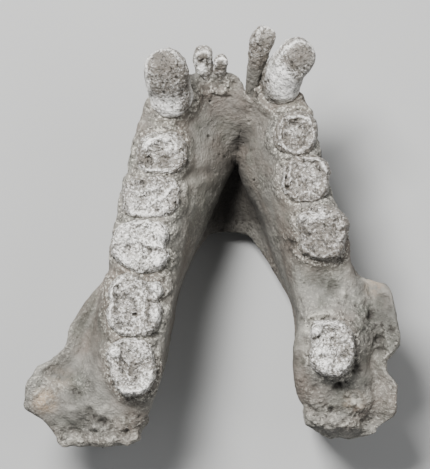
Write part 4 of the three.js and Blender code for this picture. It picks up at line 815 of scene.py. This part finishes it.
def bone_half(side, settings, fine):
    """Rings of one half of the bone with its relief, and the values that its colours read.

    Each point moves along its normal by the sum of the relief in plan, the forms of the walls, the
    sockets, the pores, and waves of three sizes and of the chips.
    """
    bone, seed = SIDES[side]
    rings, places, rail = bone_rings(bone, fine)
    normal = facing(rings)
    x, y, z = (rings[..., k] for k in range(3))
    up = ramp(normal[..., 2], *FACES_UP)
    broken = chipped_parts(places, rail, x.shape)

    shift_x, shift_y = (BONE_SWAY * waves(rings, kind, WAVE_SEED) for kind in BONE_SWAY_WAVES)
    shaped = relief(x + shift_x, y + shift_y, MOUNDS, LINES) * up
    for *middle, reach, height in WALLS:
        shaped += height * bell(np.linalg.norm(rings - middle, axis=-1), reach)
    rise, crest = sockets(side, rings, up, settings)
    pits = pores(rings, seed, settings)

    broad, small, grit, patches = (waves(rings, kind, WAVE_SEED) for kind in BONE_WAVES)
    chips = waves(rings, CHIP_WAVES, seed)
    calm = spots(x, y, CALM_PLACES)
    rough = (0.1 + 0.75 * held(0.5 + patches) + crest + spots(x, y, COARSE_PLACES) * up) * (1 - calm)
    lift = shaped + rise + pits
    lift += settings.wave_height / MM * broad
    lift += settings.grain_height / MM * (small * (1 - 0.55 * calm) + grit * rough)
    lift += settings.break_height / MM * (chips - 0.5) * broken
    moved = rings + normal * lift[..., None]
    moved[..., 2] = np.maximum(moved[..., 2], REST_LEVEL)

    values = {
        "hollow": held(-(0.45 * shaped + pits + 0.4 * small + 0.5 * chips * broken)),
        "raised": held(0.7 * shaped + 0.3 * small + 0.5 * chips * broken),
        "broken": broken,
        "crest": crest,
        "rough": held(0.7 * rough + broken),
        # deep is painted shade on the low inner side of the front
        "deep": ramp(z, *SHADED_LEVELS) * ramp(y, *SHADED_PLACES) * ramp(normal[..., 2], *SHADED_FACING),
    }
    for name, table in STAINS.items():
        values[name] = spots(x, y, table) * up
    return moved, values


def cheek_tooth(tooth, settings, fine):
    """Rings of a cheek tooth and the values that its colours read.

    The profile gives each ring's share of the outline and its height. The worn relief is added
    upwards on top, and fine waves along the normals.
    """
    rings = max(LEAST_RINGS, int(CHEEK_RINGS * fine))
    sides = max(LEAST_RINGS, int(CHEEK_SIDES * fine))
    profile = through(CHEEK_PROFILE, np.linspace(0, 1, rings + 1)[:-1])
    share, high, shows, soft_share, soft_high = profile.T
    share = share + tooth["soft"] * soft_share
    high = high + tooth["soft"] * soft_high
    angle = np.linspace(0, 2 * math.pi, sides, endpoint=False)
    reach = share[:, None] * (1 + (outline(tooth["lobes"], angle) - 1) * ramp(share, *LOBED_SHARES)[:, None])
    outward = math.copysign(1.0, tooth["centre"][0])
    local_y = reach * np.cos(angle) * tooth["size"][0] / 2
    local_x = reach * np.sin(angle) * tooth["size"][1] / 2 * outward
    turn = math.radians(tooth["turn"])
    dx = local_x * math.cos(turn) + local_y * math.sin(turn)
    dy = local_y * math.cos(turn) - local_x * math.sin(turn)

    flat = np.stack([dx, dy, np.zeros(dx.shape)], axis=-1)
    seed = int(abs(tooth["centre"][1]) * 10)
    sway_x, sway_y = (TOOTH_SWAY * waves(flat, kind, seed) for kind in TOOTH_SWAY_WAVES)
    worn = relief(dx + sway_x, dy + sway_y, tooth["mounds"], tooth["lines"]) * settings.relief
    ridge, crease = np.zeros(dx.shape), np.zeros(dx.shape)
    for line_reach, line_height, line in tooth["lines"]:
        near = bell(near_line(dx + sway_x, dy + sway_y, line), line_reach * RIDGE_SHARE)
        marks = ridge if line_height > 0 else crease
        np.maximum(marks, near * min(1.0, abs(line_height)), out=marks)
    on_top = held(shows)[:, None]
    height = CREST + high[:, None] * tooth["height"] + on_top * worn
    grid = np.stack([dx + tooth["centre"][0], dy + tooth["centre"][1], height], axis=-1)

    glow = spots(dx + 2 * sway_x, dy + 2 * sway_y, tooth["glow"])
    wrinkles, grit = (waves(grid, kind, seed) for kind in CHEEK_WRINKLES)
    fine_lift = settings.wrinkle_height / MM * (wrinkles + 0.6 * grit)
    fine_lift *= ramp(high, *WRINKLED_HEIGHTS)[:, None]
    grid = grid + facing(grid) * fine_lift[..., None]
    values = {
        "raised": held(0.45 * worn + 0.35 * wrinkles + 0.8 * ridge) * on_top,
        "hollow": held(0.6 * crease - 0.3 * worn - 0.35 * wrinkles - 0.05) * on_top,
        "low": (1 - ramp(high, *ENAMEL_HEIGHTS))[:, None] * np.ones(sides),
        "top": held(-0.7 * worn) * on_top,
        # bright is painted light, with the paler ridges
        "bright": held(tooth["bright"] + glow + 0.4 * ridge),
    }
    return grid, values


def unit(vectors):
    """Vectors made one long."""
    return vectors / np.linalg.norm(vectors, axis=1, keepdims=True)


def bend(line, t):
    """Points and directions of the curve that leaves the first point towards the second and
    arrives at the third, at shares t of its length."""
    a, b, c = (np.array(p, float) for p in line)
    t = t[:, None]
    point = a * (1 - t) ** 2 + b * 2 * t * (1 - t) + c * t**2
    return point, unit((b - a) * 2 * (1 - t) + (c - b) * 2 * t)


def front_tooth(tooth, settings, fine):
    """Rings of a front tooth and the values that its colours read.

    Oval rings are set along the bent line, square to it at the root and turned up at the tip.
    The half width of a ring point is multiplied by one plus the swellings at its place and angle.
    """
    rings = max(LEAST_RINGS, int(FRONT_TOOTH_RINGS * fine))
    sides = max(LEAST_RINGS, int(FRONT_TOOTH_SIDES * fine))
    t, share = through(FRONT_PROFILES[tooth["tip"]], np.linspace(0, 1, rings + 1)[:-1]).T
    point, heading = bend(tooth["line"], t)
    upward = np.array([0.0, 0.0, 1.0])
    normal = unit(heading + (upward - heading) * (tooth["up"] * t**3)[:, None])
    side = unit(np.cross(upward, heading))
    other = unit(np.cross(normal, side))
    width = share * np.interp(t, (0.0, 0.5, 1.0), tooth["half"])
    angle = np.linspace(0, 2 * math.pi, sides, endpoint=False)
    from_up = np.degrees(np.arctan2(np.cos(angle), np.sin(angle)))
    swell = np.zeros((rings, sides))
    for place, toward, reach, round_reach, amount in tooth["swell"]:
        apart = (from_up - toward + 180) % 360 - 180
        swell += amount * bell(t - place, reach)[:, None] * bell(apart, round_reach)[None]
    across = (width[:, None] * (1 + swell))[..., None]
    grid = (
        point[:, None]
        + side[:, None] * across * np.cos(angle)[None, :, None]
        + other[:, None] * across * tooth["depth"] * np.sin(angle)[None, :, None]
    )

    seed = int(tooth["line"][0][1] * 10)
    wrinkles = waves(grid * WRINKLE_STRETCH, FRONT_WRINKLES[0], seed)
    grit = waves(grid, FRONT_WRINKLES[1], seed)
    grid = grid + facing(grid) * (settings.wrinkle_height / MM * (wrinkles + 0.5 * grit))[..., None]
    x, y = grid[..., 0], grid[..., 1]
    rim = np.zeros(x.shape)
    for line in tooth["rims"]:
        rim = np.maximum(rim, bell(near_line(x, y, line), RIM_REACH))
    facet, pale = (spots(x, y, [(*place, 1.0) for place in tooth[key]]) for key in ("facets", "pale"))
    values = {
        # Rims and pale places painted lighter: partly pale enamel, partly painted light
        "raised": held(0.35 * wrinkles + 0.9 * rim + 1.1 * pale),
        "hollow": held(-swell * 0.8 - 0.4 * wrinkles),
        "low": (1 - ramp(t, tooth["root"], tooth["root"] + ROOT_FADE))[:, None] * np.ones(sides),
        "top": facet * (1 - rim),
        # bright is painted light, from the tooth's value, its pale places and its rims
        "bright": held(tooth["bright"] + 0.8 * pale + 0.4 * rim),
    }
    return grid, values


def closed_mesh(name, rings, first_pole, last_pole, values):
    """A closed mesh from rings of points in millimetres: four-sided faces between the rings, and a
    fan of triangles to a pole at each end. A pole's value is the mean of its ring's."""
    count, around = rings.shape[:2]
    points = np.concatenate([rings.reshape(-1, 3), [first_pole, last_pole]])
    points = np.clip((points - MIDDLE) * MM, *CAD_BOX)
    j = np.arange(around)
    k = (j + 1) % around
    start = (np.arange(count - 1) * around)[:, None]
    quads = np.stack([start + j, start + k, start + around + k, start + around + j], axis=-1)
    quads = quads.reshape(-1, 4)
    last = (count - 1) * around
    poles = count * around
    fans = np.concatenate([
        np.stack([np.full(around, poles), k, j], axis=-1),
        np.stack([np.full(around, poles + 1), last + j, last + k], axis=-1),
    ])
    corners = np.concatenate([quads.ravel(), fans.ravel()])
    starts = np.concatenate([np.arange(len(quads)) * 4, len(quads) * 4 + np.arange(len(fans)) * 3])
    mesh = bpy.data.meshes.new(name)
    mesh.vertices.add(len(points))
    mesh.vertices.foreach_set("co", points.astype(np.float32).ravel())
    mesh.loops.add(len(corners))
    mesh.loops.foreach_set("vertex_index", corners.astype(np.int32))
    mesh.polygons.add(len(starts))
    mesh.polygons.foreach_set("loop_start", starts.astype(np.int32))
    mesh.update(calc_edges=True)
    for key, value in values.items():
        flat = np.concatenate([np.ravel(value), [np.mean(value[0]), np.mean(value[-1])]])
        mesh.attributes.new(key, "FLOAT", "POINT").data.foreach_set("value", flat.astype(np.float32))
    cleaned = bmesh.new()
    cleaned.from_mesh(mesh)
    bmesh.ops.remove_doubles(cleaned, verts=cleaned.verts, dist=MERGE_DISTANCE)
    bmesh.ops.recalc_face_normals(cleaned, faces=cleaned.faces)
    cleaned.to_mesh(mesh)
    cleaned.free()
    mesh.polygons.foreach_set("use_smooth", np.ones(len(mesh.polygons), bool))
    return mesh


def add_piece(name, mesh, material, nodes):
    """Puts a mesh in the scene as a piece that stands for the named nodes, in place of one of the
    same name."""
    old = bpy.data.objects.get(name)
    if old is not None:
        bpy.data.objects.remove(old, do_unlink=True)
    mesh.materials.append(material)
    piece = bpy.data.objects.new(name, mesh)
    bpy.context.scene.collection.objects.link(piece)
    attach(piece, "root")
    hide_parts(*nodes)
    return piece


def fineness():
    """Share of the full number of rings and sides."""
    return 1.0


def add_teeth(table, shape, material):
    """Adds each tooth of a table as a piece, with the rings that the shape function gives."""
    for name, tooth in table.items():
        rings, values = shape(tooth, bpy.context.scene.jaw_teeth, fineness())
        mesh = closed_mesh(name, rings, rings[0].mean(axis=0), rings[-1].mean(axis=0), values)
        node = "symphysis" if name in FRONT_TEETH else name.split("_")[0] + "_body"
        add_piece(name, mesh, material, (node,))


class Wire:
    """A socket of a material, which Python sums turn into nodes: each of + - and * between a wire
    and a wire or number makes one Math node."""

    def __init__(self, paint, socket):
        self.paint = paint
        self.socket = socket

    def maths(self, operation, first, second, clamp=False):
        made = self.paint.node("ShaderNodeMath", {"operation": operation, "use_clamp": clamp})
        self.paint.plug(first, made.inputs[0])
        self.paint.plug(second, made.inputs[1])
        return Wire(self.paint, made.outputs[0])

    def __add__(self, other):
        return self.maths("ADD", self, other)

    def __sub__(self, other):
        return self.maths("SUBTRACT", self, other)

    def __rsub__(self, other):
        return self.maths("SUBTRACT", other, self)

    def __mul__(self, other):
        return self.maths("MULTIPLY", self, other)

    __radd__ = __add__
    __rmul__ = __mul__

    def clip(self):
        """The value held between 0 and 1."""
        return self.maths("ADD", self, 0.0, clamp=True)

    def between(self, low, high):
        """0 below low and 1 above high, with a smooth rise between."""
        smooth = {"interpolation_type": "SMOOTHSTEP"}
        made = self.paint.node("ShaderNodeMapRange", smooth, Value=self, From_Min=low, From_Max=high)
        return Wire(self.paint, made.outputs["Result"])


class Paint:
    """One material, written as Python sums over its coordinates and the mesh's own values. Layers
    of plain colours are laid over its first colour."""

    def __init__(self, name, colour):
        old = bpy.data.materials.get(name)
        if old is not None:
            bpy.data.materials.remove(old)
        self.material = bpy.data.materials.new(name)
        self.material.use_nodes = True
        self.tree = self.material.node_tree
        self.tree.nodes.clear()
        self.shader = self.node("ShaderNodeBsdfPrincipled")
        output = self.node("ShaderNodeOutputMaterial")
        self.tree.links.new(self.shader.outputs["BSDF"], output.inputs["Surface"])
        self.place = Wire(self, self.node("ShaderNodeTexCoord").outputs["Object"])
        self.colour = (*colour, 1.0)

    def plug(self, value, socket):
        """Links a wire to a socket, or sets the socket to a plain value."""
        if isinstance(value, Wire):
            self.tree.links.new(value.socket, socket)
        else:
            socket.default_value = value

    def node(self, kind, settings=None, **values):
        """A node of any kind: its settings first, then its inputs by name, with _ for a space."""
        made = self.tree.nodes.new(kind)
        for key, value in (settings or {}).items():
            setattr(made, key, value)
        for key, value in values.items():
            self.plug(value, made.inputs[key.replace("_", " ")])
        return made

    def value(self, name):
        """A value that the mesh carries."""
        return Wire(self, self.node("ShaderNodeAttribute", {"attribute_name": name}).outputs["Fac"])

    def noise(self, size, detail, roughness, shift):
        """Noise from 0 to 1 whose largest features are about size millimetres across."""
        place = self.node("ShaderNodeVectorMath", {"operation": "ADD"})
        self.plug(self.place, place.inputs[0])
        place.inputs[1].default_value = (shift, shift, shift)
        moved = Wire(self, place.outputs[0])
        made = self.node(
            "ShaderNodeTexNoise", Vector=moved, Scale=1 / (size * MM), Detail=detail, Roughness=roughness
        )
        return Wire(self, made.outputs["Fac"])

    def layer(self, share, colour):
        """Lays a plain colour over the colour so far, as thickly as the share from 0 to 1 says."""
        made = self.node("ShaderNodeMix", {"data_type": "RGBA", "clamp_factor": True})
        self.plug(share, made.inputs[0])
        self.plug(self.colour, made.inputs[6])  # the colour sockets come after those for plain values
        self.plug((*colour, 1.0), made.inputs[7])
        self.colour = Wire(self, made.outputs[2])

    def shade(self, amount):
        """Makes the colour so far lighter or darker by a factor, and gives it to the shader."""
        made = self.node("ShaderNodeVectorMath", {"operation": "SCALE"}, Scale=amount)
        colour = self.colour if isinstance(self.colour, Wire) else self.colour[:3]
        self.plug(colour, made.inputs[0])
        self.plug(Wire(self, made.outputs[0]), self.shader.inputs["Base Color"])

    def surface(self, mottle, grain, grit, roughness, distance, strength):
        """Sets the roughness, and fine relief in the shading for what is too small to model."""
        self.plug(roughness, self.shader.inputs["Roughness"])
        height = grit * 0.8 + grain * 0.8 + mottle * 0.4
        made = self.node("ShaderNodeBump", Height=height, Distance=distance, Strength=strength)
        self.plug(Wire(self, made.outputs["Normal"]), self.shader.inputs["Normal"])


def bone_material(colours):
    """Fossil bone: grey with broad brown, green and ochre stains, dark pits and pale specks, which
    are strongest round the teeth. The specks are partly painted glints. Painted shade darkens the low inner
    side of the front and the outer walls of the stumps, and painted light brightens the left half's inner
    shelf and, with their own paleness, the broken ends."""
    paint = Paint("fossil_bone", colours.bone)
    broad, patch, mottle, grain, grit = (paint.noise(*row) for row in BONE_NOISES)
    rough, crest = paint.value("rough"), paint.value("crest")
    paint.layer(broad.between(0.38, 0.66), colours.bone_brown)
    paint.layer(patch.between(0.5, 0.72) * 0.5, colours.bone_green)
    paint.layer(paint.value("warm") * mottle.between(0.25, 0.6), colours.warm)
    # green: stains, and painted shade on the outer walls of the stumps
    paint.layer(paint.value("green") * patch.between(0.3, 0.6) * 0.8, colours.green)
    paint.layer(paint.value("ochre") * mottle.between(0.3, 0.6), colours.ochre)
    # pale: stains, and painted light on the left half's inner shelf
    paint.layer(paint.value("pale") * 0.7, colours.pale)
    # Broken ends paler: partly the pale fresh break, partly painted light on end faces turned from the lamps
    paint.layer(paint.value("broken") * mottle.between(0.4, 0.7) * 0.2, colours.pale)
    paint.layer(paint.value("raised") * 0.4, colours.pale)
    # Pale specks, strongest round the teeth: partly pale grains, partly painted glints
    paint.layer(grit.between(0.52, 0.61) * (0.65 * rough + 0.6 * crest), colours.pale)
    # dark: stains, and painted shade on the stumps' outer walls and in the pit behind the incisors
    dark = paint.value("hollow") * 0.8 + paint.value("dark") * mottle.between(0.1, 0.5) * 0.7
    dark = dark + (1 - grain.between(0.36, 0.46)) * (0.7 * rough + 0.2 * crest)
    # painted shade on the low inner side of the front
    dark = dark + paint.value("deep") * 0.9
    # Lays on the dark colour: dark specks, dark stains and darker low parts of the relief, and painted shade
    # inside the front and on the stumps' outer walls
    paint.layer(dark.clip(), colours.grime_and_shade)
    paint.shade(0.78 + 0.44 * mottle)
    paint.surface(mottle, grain, grit, 0.6 + 0.3 * grain, 0.0008, 0.7)
    return paint.material


def enamel_material(colours):
    """Worn fossil teeth: pale on rims and cusps, grey-brown where worn, dark in grooves, like bone
    where they come out of it, and speckled all over. The pale specks are painted glints, the pale rims are
    partly painted highlight, and the teeth of the left row, on the side of the key light, are painted
    brighter."""
    paint = Paint("fossil_enamel", colours.worn)
    patch, mottle, grain, grit = (paint.noise(*row) for row in ENAMEL_NOISES)
    bright, facet, raised = paint.value("bright"), paint.value("top"), paint.value("raised")
    # Lighter enamel on the teeth painted brighter: painted light
    paint.layer(bright * 0.7 + 0.3 * patch.between(0.4, 0.68), colours.enamel)
    # Pale rims and ridges: partly real enamel edges, partly painted highlight
    ridge = raised * (0.3 + 0.7 * grain.between(0.36, 0.56))
    paint.layer(ridge * (0.25 + 0.6 * bright), colours.pale_enamel_and_glint)
    # Pale specks: painted glints of the lamps on the enamel, stronger on the teeth painted brighter
    specks = (grit + 0.07 * bright).between(0.54, 0.6) * (1 - 0.7 * facet)
    paint.layer(specks * (0.4 + 0.6 * bright), colours.pale_enamel_and_glint)
    paint.layer(facet * mottle.between(0.2, 0.5) * 0.7, colours.worn)
    dark = (1 - grain.between(0.41, 0.48)) * (0.82 - 0.35 * raised) + paint.value("hollow") * 0.8
    paint.layer(dark.clip(), colours.grime_and_shade)
    paint.layer(paint.value("low") * 0.6, colours.bone)
    paint.shade(0.8 + 0.4 * mottle)
    paint.surface(mottle, grain, grit, 0.32 + 0.25 * grain, 0.0007, 0.9)
    return paint.material


def floor_material(colours):
    """Plain matt floor."""
    paint = Paint("plain_floor", colours.floor)
    paint.shade(0.99 + 0.02 * paint.noise(*FLOOR_NOISE))
    paint.shader.inputs["Roughness"].default_value = FLOOR_ROUGHNESS
    return paint.material


def add_light(name, place, size, power):
    """A square soft light that points at the middle of the jaw."""
    light = bpy.data.lights.new(name, "AREA")
    light.energy = power
    light.size = size
    lamp = bpy.data.objects.new(name, light)
    lamp.location = place
    lamp.rotation_euler = (LIGHTS_AIM - Vector(place)).to_track_quat("-Z", "Y").to_euler()
    bpy.context.scene.collection.objects.link(lamp)


def length(name, description, default):
    """A length property in metres."""
    return bpy.props.FloatProperty(
        name=name, description=description, default=default, min=0.0,
        unit="LENGTH", subtype="DISTANCE", precision=5,
    )


def tint(name, description, default):
    """A colour property."""
    return bpy.props.FloatVectorProperty(
        name=name, description=description, default=default, size=3, min=0.0, max=1.0, subtype="COLOR"
    )


def power(name, description, default):
    """A property for the power of a light."""
    return bpy.props.FloatProperty(
        name=name, description=description, default=default, min=0.0, unit="POWER"
    )


class JawBoneSettings(bpy.types.PropertyGroup):
    wave_height: length("Wave height", "Height of the broad waves in the bone", 0.00042)
    grain_height: length("Grain height", "Height of the small roughness of the bone", 0.0002)
    break_height: length("Break height", "Height of the chips on the broken ends", 0.0012)
    socket_rise: length("Socket rise", "How far the bone rises round each tooth", 0.0014)
    root_rib: length("Root rib", "How far the roots swell the outer wall", 0.0007)
    pore_radius: length("Pore radius", "Least radius of the pores in the bone", 0.00026)
    pore_count: bpy.props.IntProperty(
        name="Pores", description="Number of pores in each half of the bone", default=420, min=0
    )


class JawToothSettings(bpy.types.PropertyGroup):
    wrinkle_height: length("Wrinkle height", "Height of the fine wrinkles of the enamel", 0.0003)
    relief: bpy.props.FloatProperty(
        name="Relief", description="How bold the cusps and grooves are", default=1.0, min=0.0
    )


class JawColourSettings(bpy.types.PropertyGroup):
    bone: tint("Bone", "Grey of the bone", (0.16, 0.153, 0.134))
    bone_brown: tint("Brown bone", "Browner patches of the bone", (0.128, 0.106, 0.086))
    bone_green: tint("Green bone", "Greener patches of the bone", (0.11, 0.114, 0.09))
    warm: tint("Warm stain", "Brown-pink stains", (0.145, 0.112, 0.093))
    # Grey-green stains, also used as painted shade on the stumps' outer walls
    green: tint("Green stain", "Grey-green stains", (0.088, 0.095, 0.077))
    ochre: tint("Ochre stain", "Yellow-brown stains", (0.31, 0.22, 0.14))
    # Pale bone, also used for painted glints among the specks and painted light on the left shelf and broken
    # ends
    pale: tint("Pale bone", "Pale edges and specks of the bone", (0.42, 0.4, 0.345))
    # Dark colour of specks, stains and low parts of the relief, also used for painted shade on the bone
    grime_and_shade: tint("Grime", "Dark dirt in pits and grooves", (0.03, 0.026, 0.021))
    enamel: tint("Enamel", "Grey of the teeth", (0.285, 0.272, 0.243))
    # Bright rims and specks of the teeth: partly pale enamel, partly painted highlights and glints
    pale_enamel_and_glint: tint("Pale enamel", "Bright rims and specks of the teeth", (0.92, 0.9, 0.86))
    worn: tint("Worn tooth", "Grey-brown where the teeth are worn", (0.125, 0.108, 0.088))
    floor: tint("Floor", "Plain pale floor", (0.36, 0.36, 0.353))


class JawStageSettings(bpy.types.PropertyGroup):
    camera_distance: length("Camera distance", "From the crest of the jaw up to the camera", 1.0)
    picture_height: length("Picture height", "Height of the picture at the level of the crest", 0.1529)
    key_power: power("Key light", "Power of the main soft light", 23.5)
    fill_power: power("Fill light", "Power of the weaker light on the other side", 2.4)


class JAW_OT_build_bone(bpy.types.Operator):
    """Builds both halves of the bone"""

    bl_idname = "jaw.build_bone"
    bl_label = "Build bone"

    def execute(self, context):
        scene = context.scene
        material = bone_material(scene.jaw_colours)
        for side, (bone, _) in SIDES.items():
            rings, values = bone_half(side, scene.jaw_bone, fineness())
            mesh = closed_mesh(f"{side}_bone", rings, MIDLINE_CORE, bone["end"], values)
            nodes = ("symphysis", f"{side}_body", f"{side}_ramus_root")
            add_piece(f"{side}_bone", mesh, material, nodes)
        return {"FINISHED"}


class JAW_OT_build_cheek_teeth(bpy.types.Operator):
    """Builds the premolars and molars of both sides"""

    bl_idname = "jaw.build_cheek_teeth"
    bl_label = "Build cheek teeth"

    def execute(self, context):
        add_teeth(CHEEK_TEETH, cheek_tooth, enamel_material(context.scene.jaw_colours))
        return {"FINISHED"}


class JAW_OT_build_front_teeth(bpy.types.Operator):
    """Builds the canines and incisors that are left"""

    bl_idname = "jaw.build_front_teeth"
    bl_label = "Build front teeth"

    def execute(self, context):
        enamel = bpy.data.materials.get("fossil_enamel") or enamel_material(context.scene.jaw_colours)
        add_teeth(FRONT_TEETH, front_tooth, enamel)
        return {"FINISHED"}


class JAW_OT_build_stage(bpy.types.Operator):
    """Builds the floor, the lights and the camera above the jaw"""

    bl_idname = "jaw.build_stage"
    bl_label = "Build stage"

    def execute(self, context):
        scene = context.scene
        stage = scene.jaw_stage
        mesh = bpy.data.meshes.new("floor")
        turns = ((-1, -1), (1, -1), (1, 1), (-1, 1))
        mesh.from_pydata([(x * FLOOR_HALF, y * FLOOR_HALF, 0) for x, y in turns], [], [(0, 1, 2, 3)])
        mesh.materials.append(floor_material(scene.jaw_colours))
        floor = bpy.data.objects.new("floor", mesh)
        scene.collection.objects.link(floor)

        add_light("key_light", power=stage.key_power, **KEY_LIGHT)
        add_light("fill_light", power=stage.fill_power, **FILL_LIGHT)
        world = bpy.data.worlds.new("plain_world")
        world.use_nodes = True
        background = world.node_tree.nodes["Background"]
        background.inputs["Color"].default_value = (*SKY, 1.0)
        background.inputs["Strength"].default_value = SKY_STRENGTH
        scene.world = world

        camera = bpy.data.objects.new("camera", bpy.data.cameras.new("camera"))
        over = (CAMERA_OVER - MIDDLE[:2]) * MM
        camera.location = (*over, CREST * MM + stage.camera_distance)
        camera.data.sensor_width = SENSOR_WIDTH
        camera.data.lens = SENSOR_WIDTH * stage.camera_distance / stage.picture_height
        scene.collection.objects.link(camera)
        scene.camera = camera
        return {"FINISHED"}


class JAW_PT_panel(bpy.types.Panel):
    """Sizes, colours and buttons of the jaw"""

    bl_label = "Fossil ape jaw"
    bl_idname = "JAW_PT_panel"
    bl_space_type = "VIEW_3D"
    bl_region_type = "UI"
    bl_category = "Jaw"

    def draw(self, context):
        layout = self.layout
        for _, operator in BUILD_STEPS:
            layout.operator(operator.bl_idname)
        for group, _ in SETTING_GROUPS:
            settings = getattr(context.scene, group)
            box = layout.box()
            for key in settings.__annotations__:
                box.prop(settings, key)


SETTING_GROUPS = (
    ("jaw_bone", JawBoneSettings),
    ("jaw_teeth", JawToothSettings),
    ("jaw_colours", JawColourSettings),
    ("jaw_stage", JawStageSettings),
)
BUILD_STEPS = (
    ("build_bone", JAW_OT_build_bone),
    ("build_cheek_teeth", JAW_OT_build_cheek_teeth),
    ("build_front_teeth", JAW_OT_build_front_teeth),
    ("build_stage", JAW_OT_build_stage),
)


def register():
    """Adds the settings, the operators and the panel to Blender."""
    for group, kind in SETTING_GROUPS:
        bpy.utils.register_class(kind)
        setattr(bpy.types.Scene, group, bpy.props.PointerProperty(type=kind))
    for _, operator in BUILD_STEPS:
        bpy.utils.register_class(operator)
    bpy.utils.register_class(JAW_PT_panel)


def unregister():
    """Takes them out again."""
    bpy.utils.unregister_class(JAW_PT_panel)
    for _, operator in reversed(BUILD_STEPS):
        bpy.utils.unregister_class(operator)
    for group, kind in reversed(SETTING_GROUPS):
        delattr(bpy.types.Scene, group)
        bpy.utils.unregister_class(kind)


def main():
    """Builds the jaw and its stage."""
    register()
    for step, _ in BUILD_STEPS:
        getattr(bpy.ops.jaw, step)()


if __name__ == "__main__":
    main()
